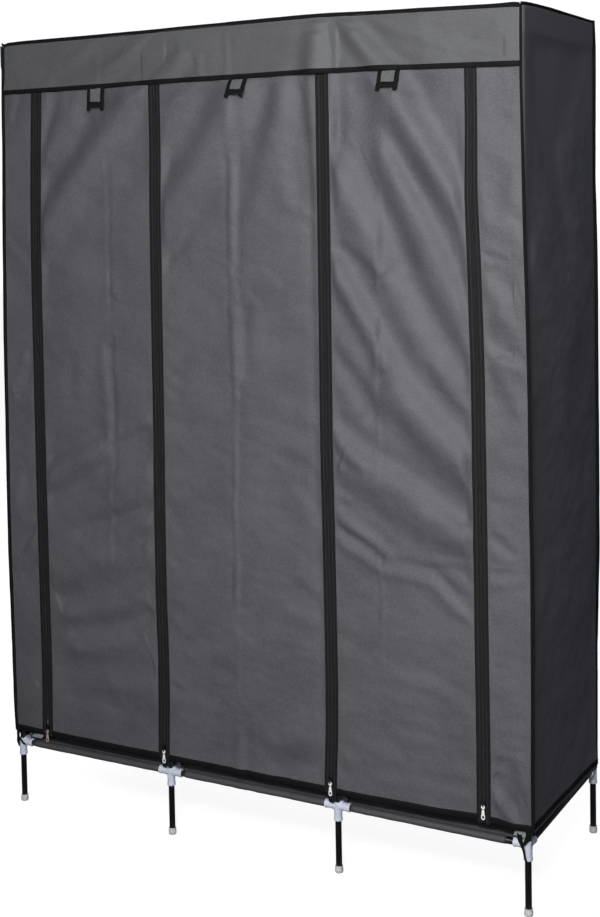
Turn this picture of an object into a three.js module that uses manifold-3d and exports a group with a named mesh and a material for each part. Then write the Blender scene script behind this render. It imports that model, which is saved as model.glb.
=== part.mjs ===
// Portable fabric wardrobe: a frame of thin black steel tubes in pale plastic connectors, under a sewn cloth cover
// with three roll-up doors between four zips. Millimetres, +Z up, X to the right, Y from the front to the back.
// The origin is at floor level, in the middle of the outer box.
import * as THREE from "three";
import { mergeVertices } from "three/addons/utils/BufferGeometryUtils.js";
import Module from "manifold-3d";

// ---------------------------------------------------------------- driving dimensions
const HEIGHT = 1750; // floor to the top of the roof cloth
const POST_SPAN = 1232; // outer posts, axis to axis, across the front
const POST_DEPTH = 414; // front posts to back posts, axis to axis
const COVER_MARGIN = 10; // outer face of the cloth beyond the outer posts' axes
const CLOTH = 1.2; // thickness of a cloth panel with its lining and turnings
const GAP = 0.3; // clearance between pieces that touch

const TUBE_R = 6.5; // frame tube, outside
const TUBE_BORE_R = 5.9; // frame tube, inside
const SOCKET_R = 8.5; // connector socket, outside
const SOCKET_BORE_R = 6.8; // connector socket, inside
const SOCKET_REACH = 29; // connector socket, from the post's axis to its mouth
const RAIL_END = 9; // end of a bottom rail, from the post's axis
const SOCKET_BLIND = 8.6; // bottom of a rail socket, from the post's axis
const CIRCLE = 8; // arcs are drawn with twice this many sides

const CAP_HEIGHT = 15; // foot cap
const CAP_FLOOR = 2; // solid bottom of a foot cap
const RAIL_Z = 141; // axis of the bottom rails
const CONNECTOR_LOW = 110; // bottom connector's sleeve on the post
const CONNECTOR_HIGH = 172;
const TOP_RAIL_Z = 1740; // axis of the top rails
const TOP_SLEEVE_LOW = 1708; // lower end of a top fitting's sleeve
const POST_TOP = 1731;
const HANG_Z = 1716; // axis of the hanging rail
const HANG_SADDLE = 14; // half length of the saddle that holds the hanging rail

const HEM_FRONT = 170; // lower edge of the front cloth
const HEM_SIDE_FRONT = 160; // lower edge of a side panel at the front
const HEM_BACK = 143; // lower edge of the sides and back at the back
const VALANCE_LOW = 1641; // seam where the doors hang from the valance

// each zip's line across the front, from the left outer post's axis: [at the hem, at the valance]
const ZIPS = [
  [82, 92],
  [402, 409],
  [811, 815],
  [1146, 1135],
];
const SLIDER_Z = [187, 193, 195, 209]; // centre of each zip slider when its zip is shut
const SLIDER_HALF_W = 5.5;
const SLIDER_HALF_H = 8.5;
const SLIDER_PLATE = 2.5; // thickness of the slider's front plate
const BAIL_GAP = 2.6; // clear depth under the slider's bail
const BAIL_WALL = 1.2;
const BAIL_HALF_H = 6;
const BAIL_HALF_W = 1.5;
const PULL_DROP = 2.2; // the pull's pin below the slider's centre
const PULL_LENGTH = 30;
const PULL_HALF_W = 3.8;
const PULL_T = 1.2;

const TAB_WIDTH = 48;
const TAB_LENGTH = 47;
const TAB_T = 1.4;
const TAB_STANDOFF = 2.5; // tab's hinge line in front of the cloth
const TAB_TILT = [4, 25, 25]; // degrees that each tab leans out at its lower end
const TAB_X = [262, 617, 962]; // middle of each tab, from the left outer post's axis

// ---------------------------------------------------------------- derived places
const tabReach = Math.max(
  ...TAB_TILT.map(
    (a) =>
      COVER_MARGIN +
      TAB_STANDOFF +
      TAB_LENGTH * Math.sin((a * Math.PI) / 180) +
      (TAB_T / 2) * Math.cos((a * Math.PI) / 180),
  ),
);
const LEFT = -POST_SPAN / 2; // left posts' axis
const FRONT = -(POST_DEPTH + COVER_MARGIN - tabReach) / 2; // front posts' axis
const BACK = FRONT + POST_DEPTH; // back posts' axis
const POSTS_X = [0, 1, 2, 3].map((i) => LEFT + (POST_SPAN * i) / 3);
const RIGHT = POSTS_X[3];
const OUT_L = LEFT - COVER_MARGIN,
  OUT_R = RIGHT + COVER_MARGIN,
  OUT_F = FRONT - COVER_MARGIN,
  OUT_B = BACK + COVER_MARGIN;
const IN_F = OUT_F + CLOTH; // inner face of the front cloth
const ALONG = ["left", "mid_left", "mid_right", "right"];

// ---------------------------------------------------------------- solids
const wasm = await Module();
wasm.setup();

function solid(geometry) {
  const g = geometry.clone();
  for (const name of Object.keys(g.attributes))
    if (name !== "position") g.deleteAttribute(name);
  const merged = mergeVertices(g, 1e-4);
  return new wasm.Manifold(
    new wasm.Mesh({
      numProp: 3,
      vertProperties: new Float32Array(merged.attributes.position.array),
      triVerts: new Uint32Array(merged.index.array),
    }),
  );
}
function geometryOf(manifold) {
  const m = manifold.getMesh(),
    n = m.numProp,
    v = new Float32Array(m.numVert * 3);
  for (let i = 0; i < m.numVert; i++)
    v.set(m.vertProperties.subarray(i * n, i * n + 3), i * 3);
  const g = new THREE.BufferGeometry()
    .setAttribute("position", new THREE.BufferAttribute(v, 3))
    .setIndex(new THREE.BufferAttribute(new Uint32Array(m.triVerts), 1));
  g.computeVertexNormals();
  return g;
}
const joined = (first, ...rest) =>
  geometryOf(rest.reduce((a, b) => a.add(solid(b)), solid(first)));
const cut = (from, ...tools) =>
  geometryOf(tools.reduce((a, b) => a.subtract(solid(b)), solid(from)));

// an outline in its own plane, extruded along one axis from `from` to `to`; the outline's own axes are
// X and Y for "z", Y and Z for "x", and X and Z for "y"
function extruded(shape, axis, from, to) {
  const g = new THREE.ExtrudeGeometry(shape, {
    depth: to - from,
    bevelEnabled: false,
    curveSegments: CIRCLE,
    steps: 1,
  });
  g.translate(0, 0, from);
  if (axis === "x")
    g.applyMatrix4(
      new THREE.Matrix4().set(0, 0, 1, 0, 1, 0, 0, 0, 0, 1, 0, 0, 0, 0, 0, 1),
    );
  if (axis === "y") {
    g.translate(0, 0, -from - to);
    g.applyMatrix4(
      new THREE.Matrix4().set(1, 0, 0, 0, 0, 0, -1, 0, 0, 1, 0, 0, 0, 0, 0, 1),
    );
  }
  return g;
}
function circle(u, v, r) {
  const s = new THREE.Shape();
  s.absarc(u, v, r, 0, 2 * Math.PI, false);
  return s;
}
function ringShape(u, v, outer, inner) {
  const s = circle(u, v, outer),
    hole = new THREE.Path();
  hole.absarc(u, v, inner, 0, 2 * Math.PI, true);
  s.holes.push(hole);
  return s;
}
const polygon = (points) => new THREE.Shape(points.map(([u, v]) => new THREE.Vector2(u, v)));
const rod = (axis, u, v, r, from, to) => extruded(circle(u, v, r), axis, from, to);
const tube = (axis, u, v, from, to) =>
  extruded(ringShape(u, v, TUBE_R, TUBE_BORE_R), axis, from, to);
function box(x0, x1, y0, y1, z0, z1) {
  const g = new THREE.BoxGeometry(x1 - x0, y1 - y0, z1 - z0);
  g.translate((x0 + x1) / 2, (y0 + y1) / 2, (z0 + z1) / 2);
  return g;
}

// ---------------------------------------------------------------- materials
const paint = (color, roughness, metalness = 0) =>
  new THREE.MeshStandardMaterial({ color, roughness, metalness });
const blackTube = () => paint(0x1a1a1c, 0.45, 0.6);
const palePlastic = () => paint(0xc4cad8, 0.45);
const capPlastic = () => paint(0xc9c9cc, 0.4);
const greyCloth = () => paint(0x5c5c60, 0.9);
const darkCloth = () => paint(0x2f3136, 0.9);
const steel = () => paint(0xb4b2ae, 0.3, 0.9);
const blackCloth = () => paint(0x19191c, 0.85);

const wardrobe = new THREE.Group();
const frame = new THREE.Group(),
  cover = new THREE.Group(),
  zips = new THREE.Group();
wardrobe.add(frame, cover, zips);
function piece(parent, name, geometry, material) {
  const mesh = new THREE.Mesh(geometry, material);
  mesh.name = name;
  parent.add(mesh);
  return mesh;
}

// ---------------------------------------------------------------- posts, foot caps and bottom connectors
for (const [row, y, inward] of [
  ["front", FRONT, 1],
  ["back", BACK, -1],
])
  POSTS_X.forEach((x, i) => {
    const name = row + "_" + ALONG[i];
    // the foot cap is a cup with a bevelled bottom rim
    const cup = new THREE.LatheGeometry(
      [
        [0, 0],
        [7.2, 0],
        [SOCKET_R, 1.6],
        [SOCKET_R, CAP_HEIGHT - 1],
        [SOCKET_R - 0.8, CAP_HEIGHT],
        [SOCKET_BORE_R, CAP_HEIGHT],
        [SOCKET_BORE_R, CAP_FLOOR],
        [0, CAP_FLOOR],
      ].map(([r, h]) => new THREE.Vector2(r, h)),
      2 * CIRCLE,
    );
    cup.rotateX(Math.PI / 2);
    piece(frame, "foot_cap_" + name, cup, capPlastic()).position.set(x, y, 0);

    piece(
      frame,
      "post_" + name,
      tube("z", 0, 0, CAP_FLOOR + GAP, POST_TOP),
      blackTube(),
    ).position.set(x, y, 0);

    // sleeve on the post, with a socket for each bottom rail
    const arms = [],
      bores = [rod("z", 0, 0, SOCKET_BORE_R, CONNECTOR_LOW - 1, CONNECTOR_HIGH + 1)];
    const arm = (axis, u, v, sign) => {
      const span = (a, b) => (sign > 0 ? [a, b] : [-b, -a]);
      arms.push(rod(axis, u, v, SOCKET_R, ...span(0, SOCKET_REACH)));
      bores.push(rod(axis, u, v, SOCKET_BORE_R, ...span(SOCKET_BLIND, SOCKET_REACH + 1)));
    };
    if (i > 0) arm("x", 0, RAIL_Z, -1);
    if (i < 3) arm("x", 0, RAIL_Z, 1);
    arm("y", 0, RAIL_Z, inward);
    const body = joined(rod("z", 0, 0, SOCKET_R, CONNECTOR_LOW, CONNECTOR_HIGH), ...arms);
    piece(frame, "bottom_connector_" + name, cut(body, ...bores), palePlastic()).position.set(
      x,
      y,
      0,
    );
  });

// ---------------------------------------------------------------- bottom rails
for (const [row, y] of [
  ["front", FRONT],
  ["back", BACK],
])
  ["left", "middle", "right"].forEach((bay, i) =>
    piece(
      frame,
      "bottom_" + row + "_rail_" + bay,
      tube("x", y, RAIL_Z, POSTS_X[i] + RAIL_END, POSTS_X[i + 1] - RAIL_END),
      blackTube(),
    ),
  );
POSTS_X.forEach((x, i) =>
  piece(
    frame,
    "bottom_side_rail_" + ALONG[i],
    tube("y", x, RAIL_Z, FRONT + RAIL_END, BACK - RAIL_END),
    blackTube(),
  ),
);

// ---------------------------------------------------------------- top frame
const railEnd = 6.5; // the long top rails run this far past the outer posts' axes
for (const [name, y] of [
  ["top_front_rail", FRONT],
  ["top_back_rail", BACK],
])
  piece(frame, name, tube("x", y, TOP_RAIL_Z, LEFT - railEnd, RIGHT + railEnd), blackTube());
const MID = (FRONT + BACK) / 2;
piece(
  frame,
  "hanging_rail",
  tube("x", MID, HANG_Z, LEFT - railEnd, RIGHT + railEnd),
  blackTube(),
);
POSTS_X.forEach((x, i) => {
  const low = i === 0 ? -SOCKET_R : -SOCKET_REACH,
    high = i === 3 ? SOCKET_R : SOCKET_REACH,
    boreLow = i === 0 ? -railEnd - 0.4 : low - 1,
    boreHigh = i === 3 ? railEnd + 0.4 : high + 1,
    saddleLow = i === 0 ? -SOCKET_R : -HANG_SADDLE,
    saddleHigh = i === 3 ? SOCKET_R : HANG_SADDLE;
  const adds = [],
    bores = [];
  for (const y of [FRONT, BACK]) {
    adds.push(rod("z", 0, y, SOCKET_R, TOP_SLEEVE_LOW, TOP_RAIL_Z));
    adds.push(rod("x", y, TOP_RAIL_Z, SOCKET_R, low, high));
    bores.push(rod("z", 0, y, SOCKET_BORE_R, TOP_SLEEVE_LOW - 1, POST_TOP + 0.5));
    bores.push(rod("x", y, TOP_RAIL_Z, SOCKET_BORE_R, boreLow, boreHigh));
  }
  // sockets that hold the depth tube's ends, and the saddle under its middle
  adds.push(rod("y", 0, TOP_RAIL_Z, SOCKET_R, FRONT, FRONT + SOCKET_REACH));
  adds.push(rod("y", 0, TOP_RAIL_Z, SOCKET_R, BACK - SOCKET_REACH, BACK));
  adds.push(rod("y", 0, TOP_RAIL_Z, SOCKET_R, MID - 16, MID + 16));
  adds.push(box(-4.5, 4.5, MID - 7, MID + 7, HANG_Z, TOP_RAIL_Z));
  adds.push(rod("x", MID, HANG_Z, SOCKET_R, saddleLow, saddleHigh));
  bores.push(
    rod(
      "x",
      MID,
      HANG_Z,
      SOCKET_BORE_R,
      i === 0 ? boreLow : saddleLow - 1,
      i === 3 ? boreHigh : saddleHigh + 1,
    ),
  );
  const body = joined(rod("y", 0, TOP_RAIL_Z, TUBE_R, FRONT, BACK), ...adds);
  piece(frame, "top_cross_member_" + ALONG[i], cut(body, ...bores), palePlastic()).position.x = x;
});

// ---------------------------------------------------------------- shelf cloth, sleeved on the bottom rails
{
  const r0 = TUBE_R + 0.4,
    r1 = r0 + CLOTH,
    slabTop = RAIL_Z + r1,
    clear = SOCKET_REACH + 1;
  const sleeves = [];
  for (let i = 0; i < 3; i++)
    for (const y of [FRONT, BACK])
      sleeves.push(
        extruded(
          ringShape(y, RAIL_Z, r1, r0),
          "x",
          POSTS_X[i] + clear,
          POSTS_X[i + 1] - clear,
        ),
      );
  const slab = box(LEFT - 7, RIGHT + 7, FRONT, BACK, slabTop - CLOTH, slabTop);
  const notches = POSTS_X.flatMap((x) => [
    box(x - clear, x + clear, FRONT - 1, FRONT + clear, slabTop - 5, slabTop + 5),
    box(x - clear, x + clear, BACK - clear, BACK + 1, slabTop - 5, slabTop + 5),
  ]);
  // the slab is cut to the rails' sleeves, then joined to them
  const bores = [];
  for (const y of [FRONT, BACK])
    bores.push(rod("x", y, RAIL_Z, r0, LEFT - 20, RIGHT + 20));
  const cloth = cut(slab, ...notches);
  piece(frame, "bottom_shelf_cloth", cut(joined(cloth, ...sleeves), ...bores), darkCloth());
}

// ---------------------------------------------------------------- cloth cover
const roofLow = HEIGHT - CLOTH,
  wallTop = roofLow - GAP;
piece(
  cover,
  "cover_roof_and_back",
  extruded(
    polygon([
      [OUT_F, roofLow],
      [OUT_B - CLOTH, roofLow],
      [OUT_B - CLOTH, HEM_BACK],
      [OUT_B, HEM_BACK],
      [OUT_B, HEIGHT],
      [OUT_F, HEIGHT],
    ]),
    "x",
    OUT_L,
    OUT_R,
  ),
  darkCloth(),
);
for (const [name, x] of [
  ["cover_left_side", OUT_L],
  ["cover_right_side", OUT_R - CLOTH],
])
  piece(
    cover,
    name,
    extruded(
      polygon([
        [IN_F + GAP, HEM_SIDE_FRONT],
        [OUT_B - CLOTH - GAP, HEM_BACK],
        [OUT_B - CLOTH - GAP, wallTop],
        [IN_F + GAP, wallTop],
      ]),
      "x",
      x,
      x + CLOTH,
    ),
    darkCloth(),
  );
const zipLow = ZIPS.map(([low]) => LEFT + low),
  zipHigh = ZIPS.map(([, high]) => LEFT + high);
piece(
  cover,
  "cover_front_surround",
  extruded(
    polygon([
      [OUT_L, HEM_FRONT],
      [zipLow[0] - GAP, HEM_FRONT],
      [zipHigh[0] - GAP, VALANCE_LOW],
      [zipHigh[3] + GAP, VALANCE_LOW],
      [zipLow[3] + GAP, HEM_FRONT],
      [OUT_R, HEM_FRONT],
      [OUT_R, wallTop],
      [OUT_L, wallTop],
    ]),
    "y",
    OUT_F,
    IN_F,
  ),
  greyCloth(),
);
["left", "middle", "right"].forEach((bay, i) =>
  piece(
    cover,
    "door_" + bay,
    extruded(
      polygon([
        [zipLow[i] + GAP, HEM_FRONT],
        [zipLow[i + 1] - GAP, HEM_FRONT],
        [zipHigh[i + 1] - GAP, VALANCE_LOW - 0.4],
        [zipHigh[i] + GAP, VALANCE_LOW - 0.4],
      ]),
      "y",
      OUT_F,
      IN_F,
    ),
    greyCloth(),
  ),
);

// ---------------------------------------------------------------- roll-up tabs, one over each door
["left", "middle", "right"].forEach((bay, i) => {
  // a strip with a bound edge on each side that runs a little past the bar near its lower end
  const strip = joined(
    box(-TAB_WIDTH / 2, TAB_WIDTH / 2, -TAB_T / 2, TAB_T / 2, -TAB_LENGTH + 6, -1),
    box(-TAB_WIDTH / 2, -TAB_WIDTH / 2 + 8, -TAB_T / 2, TAB_T / 2, -TAB_LENGTH, -1),
    box(TAB_WIDTH / 2 - 8, TAB_WIDTH / 2, -TAB_T / 2, TAB_T / 2, -TAB_LENGTH, -1),
  );
  const tab = piece(cover, "roll_tab_" + bay, strip, blackCloth());
  tab.position.set(LEFT + TAB_X[i], OUT_F - TAB_STANDOFF, VALANCE_LOW);
  tab.rotation.x = (-TAB_TILT[i] * Math.PI) / 180;
});

// ---------------------------------------------------------------- zip sliders and their pulls
const plateBack = OUT_F - GAP - 0.1,
  plateFront = plateBack - SLIDER_PLATE,
  pinY = plateFront - BAIL_GAP / 2,
  bailFront = plateFront - BAIL_GAP - BAIL_WALL;
ZIPS.forEach(([low, high], i) => {
  const share = (SLIDER_Z[i] - HEM_FRONT) / (VALANCE_LOW - HEM_FRONT),
    x = LEFT + low + (high - low) * share;
  const plate = extruded(
    polygon([
      [-4, -SLIDER_HALF_H],
      [4, -SLIDER_HALF_H],
      [SLIDER_HALF_W, -SLIDER_HALF_H + 3],
      [SLIDER_HALF_W, SLIDER_HALF_H - 5],
      [3, SLIDER_HALF_H],
      [-3, SLIDER_HALF_H],
      [-SLIDER_HALF_W, SLIDER_HALF_H - 5],
      [-SLIDER_HALF_W, -SLIDER_HALF_H + 3],
    ]),
    "y",
    plateFront,
    plateBack,
  );
  const bail = extruded(
    polygon([
      [plateFront + 0.5, -BAIL_HALF_H],
      [plateFront + 0.5, -BAIL_HALF_H + BAIL_WALL],
      [plateFront - BAIL_GAP, -BAIL_HALF_H + BAIL_WALL],
      [plateFront - BAIL_GAP, BAIL_HALF_H - BAIL_WALL],
      [plateFront + 0.5, BAIL_HALF_H - BAIL_WALL],
      [plateFront + 0.5, BAIL_HALF_H],
      [bailFront, BAIL_HALF_H - 0.8],
      [bailFront, -BAIL_HALF_H + 0.8],
    ]),
    "x",
    -BAIL_HALF_W,
    BAIL_HALF_W,
  );
  piece(
    zips,
    "zip_slider_" + ["left_edge", "mid_left", "mid_right", "right_edge"][i],
    joined(plate, bail),
    steel(),
  ).position.set(x, 0, SLIDER_Z[i]);

  // the pull: a pin under the bail, a window round it, then the grip with its hole
  const grip = extruded(
    (() => {
      const s = polygon([
        [-3.4, 1],
        [-3.4, -7.5],
        [-2.6, -11],
        [-2.6, -14],
        [-PULL_HALF_W, -19],
        [-PULL_HALF_W, -PULL_LENGTH + 3],
        [-2.2, -PULL_LENGTH],
        [2.2, -PULL_LENGTH],
        [PULL_HALF_W, -PULL_LENGTH + 3],
        [PULL_HALF_W, -19],
        [2.6, -14],
        [2.6, -11],
        [3.4, -7.5],
        [3.4, 1],
      ]);
      const window = new THREE.Path(
        [
          [-2.1, -0.9],
          [-2.1, -7.4],
          [2.1, -7.4],
          [2.1, -0.9],
        ].map(([u, v]) => new THREE.Vector2(u, v)),
      );
      const eye = new THREE.Path();
      eye.absarc(0, -PULL_LENGTH + 4.6, 1.7, 0, 2 * Math.PI, true);
      s.holes.push(window, eye);
      return s;
    })(),
    "y",
    -PULL_T / 2,
    PULL_T / 2,
  );
  piece(
    zips,
    "zip_pull_" + ["left_edge", "mid_left", "mid_right", "right_edge"][i],
    grip,
    steel(),
  ).position.set(x, pinY, SLIDER_Z[i] - PULL_DROP);
});

export default wardrobe;
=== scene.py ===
import bpy, math
import numpy as np
from mathutils import Matrix, Vector


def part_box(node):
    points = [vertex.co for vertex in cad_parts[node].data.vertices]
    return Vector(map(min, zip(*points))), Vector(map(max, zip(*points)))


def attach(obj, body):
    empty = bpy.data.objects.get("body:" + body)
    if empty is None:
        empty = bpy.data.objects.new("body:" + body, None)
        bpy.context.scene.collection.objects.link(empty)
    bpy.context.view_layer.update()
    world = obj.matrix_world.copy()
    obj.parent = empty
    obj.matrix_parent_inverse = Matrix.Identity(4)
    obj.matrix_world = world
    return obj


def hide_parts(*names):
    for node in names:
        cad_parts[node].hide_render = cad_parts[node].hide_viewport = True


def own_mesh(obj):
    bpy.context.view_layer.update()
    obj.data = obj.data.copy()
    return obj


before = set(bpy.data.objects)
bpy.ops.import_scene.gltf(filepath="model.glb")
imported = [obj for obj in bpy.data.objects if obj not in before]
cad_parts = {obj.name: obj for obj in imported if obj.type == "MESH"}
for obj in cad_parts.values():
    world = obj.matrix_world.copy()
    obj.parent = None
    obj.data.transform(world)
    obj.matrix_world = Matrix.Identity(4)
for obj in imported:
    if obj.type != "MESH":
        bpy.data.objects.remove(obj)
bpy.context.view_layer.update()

# Everything below is worked out in millimetres, in the frame's own axes: x to the right, y to the back, z up.
# Meshes are scaled to metres when they are made.

HEIGHT = 1750.0
POSTS = (-616.0, -205.33, 205.33, 616.0)
FRONT, BACK = -195.501, 218.499
OUT_F, OUT_B = -205.501, 228.499
TUBE_R = 6.5
SOCKET_R = 8.5
RAIL_Z, TOP_RAIL_Z, HANG_Z = 141.0, 1740.0, 1716.0
POST_TOP = 1731.0
HEM, VALANCE_LOW = 170.0, 1641.0
PLACES = ("left", "mid_left", "mid_right", "right")
BAYS = ("left", "middle", "right")
ZIPS = ("left_edge", "mid_left", "mid_right", "right_edge")
TAPE = 29.0


# ---------------------------------------------------------------- camera

def camera():
    f, cx, cy = 1471.5069, 300.0, 270.0
    yaw, pitch, roll = 0.4974, 0.0530, -0.0171
    place = (1.569673, -2.833658, 1.404276)
    rz = Matrix(((math.cos(yaw), math.sin(yaw), 0), (-math.sin(yaw), math.cos(yaw), 0), (0, 0, 1)))
    b = Matrix(((1, 0, 0), (0, 0, -1), (0, 1, 0)))
    rx = Matrix(((1, 0, 0), (0, math.cos(pitch), -math.sin(pitch)), (0, math.sin(pitch), math.cos(pitch))))
    rr = Matrix(((math.cos(roll), -math.sin(roll), 0), (math.sin(roll), math.cos(roll), 0), (0, 0, 1)))
    m = rr @ rx @ b @ rz
    world = Matrix(((m[0][0], -m[1][0], -m[2][0], place[0]),
                    (m[0][1], -m[1][1], -m[2][1], place[1]),
                    (m[0][2], -m[1][2], -m[2][2], place[2]),
                    (0, 0, 0, 1)))
    data = bpy.data.cameras.new("camera")
    data.sensor_fit = "AUTO"
    data.sensor_width = 36.0
    data.lens = 36.0 * f / 917.0
    data.shift_x = (300.0 - cx) / 917.0
    data.shift_y = (cy - 458.5) / 917.0
    data.clip_start, data.clip_end = 0.05, 60.0
    ob = bpy.data.objects.new("camera", data)
    bpy.context.scene.collection.objects.link(ob)
    ob.matrix_world = world
    bpy.context.scene.camera = ob
    return ob


camera()


# ---------------------------------------------------------------- numbers

def smooth(t):
    t = np.clip(t, 0.0, 1.0)
    return t * t * (3.0 - 2.0 * t)


def hash01(a, b, seed):
    n = (a.astype(np.int64) * 374761393 + b.astype(np.int64) * 668265263 + seed * 974634777) & 0x7FFFFFFF
    n = ((n ^ (n >> 13)) * 1274126177) & 0x7FFFFFFF
    return ((n ^ (n >> 16)) & 0xFFFF) / 65535.0


def vnoise(x, y, seed=0):
    """Smooth noise from -1 to 1, with cells of size 1."""
    x, y = np.broadcast_arrays(np.asarray(x, float), np.asarray(y, float))
    xi, yi = np.floor(x), np.floor(y)
    fx, fy = x - xi, y - yi
    fx = fx ** 3 * (fx * (fx * 6 - 15) + 10)
    fy = fy ** 3 * (fy * (fy * 6 - 15) + 10)
    a, b = hash01(xi, yi, seed), hash01(xi + 1, yi, seed)
    c, d = hash01(xi, yi + 1, seed), hash01(xi + 1, yi + 1, seed)
    return 2.0 * ((a * (1 - fx) + b * fx) * (1 - fy) + (c * (1 - fx) + d * fx) * fy) - 1.0


def curve(pairs, soft=45.0):
    """A smooth function through (position, value) pairs."""
    pairs = sorted(pairs)
    step = 4.0
    t = np.arange(pairs[0][0] - 400, pairs[-1][0] + 400 + step, step)
    v = np.interp(t, [p[0] for p in pairs], [p[1] for p in pairs])
    n = max(1, int(soft / step))
    k = np.hanning(2 * n + 3)[1:-1]
    k /= k.sum()
    v = np.convolve(np.pad(v, n, mode="edge"), k, mode="valid")
    return lambda q: np.interp(q, t, v)


def softmax(a, b, k):
    m = np.maximum(a, b)
    return m + k * np.log(np.exp((a - m) / k) + np.exp((b - m) / k))


def rounded(pts, per=4):
    """A path through pts with its corners rounded."""
    p = np.array(pts, float)
    if len(p) == 2:
        return p
    q = np.concatenate((2 * p[:1] - p[1:2], p, 2 * p[-1:] - p[-2:-1]))
    out = []
    for i in range(1, len(q) - 2):
        for t in np.arange(per) / per:
            out.append(0.5 * (2 * q[i] + (q[i + 1] - q[i - 1]) * t + (2 * q[i - 1] - 5 * q[i] + 4 * q[i + 1] - q[i + 2]) * t * t
                              + (3 * q[i] - q[i - 1] - 3 * q[i + 1] + q[i + 2]) * t ** 3))
    out.append(q[-2])
    return np.array(out)


def ridges(X, Z, table, gain=1.3):
    """Height of a set of soft ridges. Each row is (points of its path, width on the right, width on the left, height,
    length of the fade at its start, and at its end)."""
    h = np.zeros(X.shape)
    for pts, wa, wb, amp, e0, e1 in table:
        p = rounded(pts)
        seg = p[1:] - p[:-1]
        ln = np.hypot(seg[:, 0], seg[:, 1])
        cum = np.concatenate(([0], np.cumsum(ln)))
        best = np.full(X.shape, 1e18)
        s = np.zeros(X.shape)
        d = np.zeros(X.shape)
        for i in range(len(seg)):
            u = seg[i] / ln[i]
            rx, rz = X - p[i, 0], Z - p[i, 1]
            a = rx * u[0] + rz * u[1]
            ac = np.clip(a, -1e9 if i == 0 else 0.0, 1e9 if i == len(seg) - 1 else ln[i])
            q = (rx - ac * u[0]) ** 2 + (rz - ac * u[1]) ** 2
            m = q < best
            best = np.where(m, q, best)
            s = np.where(m, cum[i] + ac, s)
            d = np.where(m, rz * u[0] - rx * u[1], d)
        w = np.where(d > 0, wa, wb)
        h += gain * amp * np.exp(-(d / w) ** 2) * smooth(s / e0 + 0.5) * smooth((cum[-1] - s) / e1 + 0.5)
    return h


def folds(X, Z, table, ends=None, gain=1.5):
    """Height of a set of folds. Each row is one slope of the cloth: (points of its path, half of its width, how steep it
    is, length of the fade at its start, and at its end). A slope faces the picture's right for a path that runs down,
    and faces up for one that runs to the right; a negative one faces the other way. The cloth rises and falls by less
    than half of the width times the slope, and is back in its plane a little beyond the edges."""
    h = np.zeros(X.shape)
    for pts, wide, steep, e0, e1 in table:
        p = rounded(pts)
        seg = p[1:] - p[:-1]
        ln = np.hypot(seg[:, 0], seg[:, 1])
        cum = np.concatenate(([0], np.cumsum(ln)))
        best = np.full(X.shape, 1e18)
        s = np.zeros(X.shape)
        d = np.zeros(X.shape)
        for i in range(len(seg)):
            u = seg[i] / ln[i]
            rx, rz = X - p[i, 0], Z - p[i, 1]
            a = rx * u[0] + rz * u[1]
            ac = np.clip(a, -1e9 if i == 0 else 0.0, 1e9 if i == len(seg) - 1 else ln[i])
            q = (rx - ac * u[0]) ** 2 + (rz - ac * u[1]) ** 2
            m = q < best
            best = np.where(m, q, best)
            s = np.where(m, cum[i] + ac, s)
            d = np.where(m, np.sign(rz * u[0] - rx * u[1]) * np.sqrt(q), d)
        w = 1.62 * wide
        h -= gain * steep * d * np.exp(-(d / w) ** 2) * (1 if ends and ends(*p[0]) else smooth(s / e0 + 0.5)) \
            * (1 if ends and ends(*p[-1]) else smooth((cum[-1] - s) / e1 + 0.5))
    return h


# ---------------------------------------------------------------- mesh making

class Build:
    """Collects parts of one mesh, in millimetres."""

    def __init__(self):
        self.v, self.uv, self.q, self.t, self.qm, self.tm, self.n = [], [], [], [], [], [], 0

    def add(self, v, quads=None, tris=None, uv=None, mat=0):
        v = np.asarray(v, float).reshape(-1, 3)
        self.v.append(v)
        self.uv.append(np.zeros((len(v), 2)) if uv is None else np.asarray(uv, float).reshape(-1, 2))
        if quads is not None and len(quads):
            q = np.asarray(quads, np.int64).reshape(-1, 4) + self.n
            self.q.append(q)
            self.qm.append(np.full(len(q), mat))
        if tris is not None and len(tris):
            t = np.asarray(tris, np.int64).reshape(-1, 3) + self.n
            self.t.append(t)
            self.tm.append(np.full(len(t), mat))
        self.n += len(v)
        return self

    def obj(self, name, mats, sharp=None, flat=False):
        v = np.concatenate(self.v) * 0.001
        uv = np.concatenate(self.uv)
        q = np.concatenate(self.q) if self.q else np.zeros((0, 4), np.int64)
        t = np.concatenate(self.t) if self.t else np.zeros((0, 3), np.int64)
        mi = np.concatenate(self.qm + self.tm).astype(np.int32)
        loops = np.concatenate((q.ravel(), t.ravel())).astype(np.int32)
        starts = np.concatenate((np.arange(len(q)) * 4, len(q) * 4 + np.arange(len(t)) * 3)).astype(np.int32)
        me = bpy.data.meshes.new(name)
        me.vertices.add(len(v))
        me.vertices.foreach_set("co", v.astype(np.float32).ravel())
        me.loops.add(len(loops))
        me.loops.foreach_set("vertex_index", loops)
        me.polygons.add(len(starts))
        me.polygons.foreach_set("loop_start", starts)
        me.update(calc_edges=True)
        me.polygons.foreach_set("material_index", mi)
        me.polygons.foreach_set("use_smooth", np.full(len(starts), not flat))
        layer = me.uv_layers.new(name="UVMap")
        layer.data.foreach_set("uv", uv[loops].astype(np.float32).ravel())
        for m in mats if isinstance(mats, (list, tuple)) else [mats]:
            me.materials.append(m)
        me.validate()
        if sharp is not None:
            me.set_sharp_from_angle(angle=math.radians(sharp))
        ob = bpy.data.objects.new(name, me)
        bpy.context.scene.collection.objects.link(ob)
        return ob


def grid_quads(R, C, base=0, flip=False):
    r, c = np.meshgrid(np.arange(R - 1), np.arange(C - 1), indexing="ij")
    a = base + r * C + c
    q = np.stack([a, a + 1, a + C + 1, a + C], -1).reshape(-1, 4)
    return q[:, ::-1] if flip else q


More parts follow.
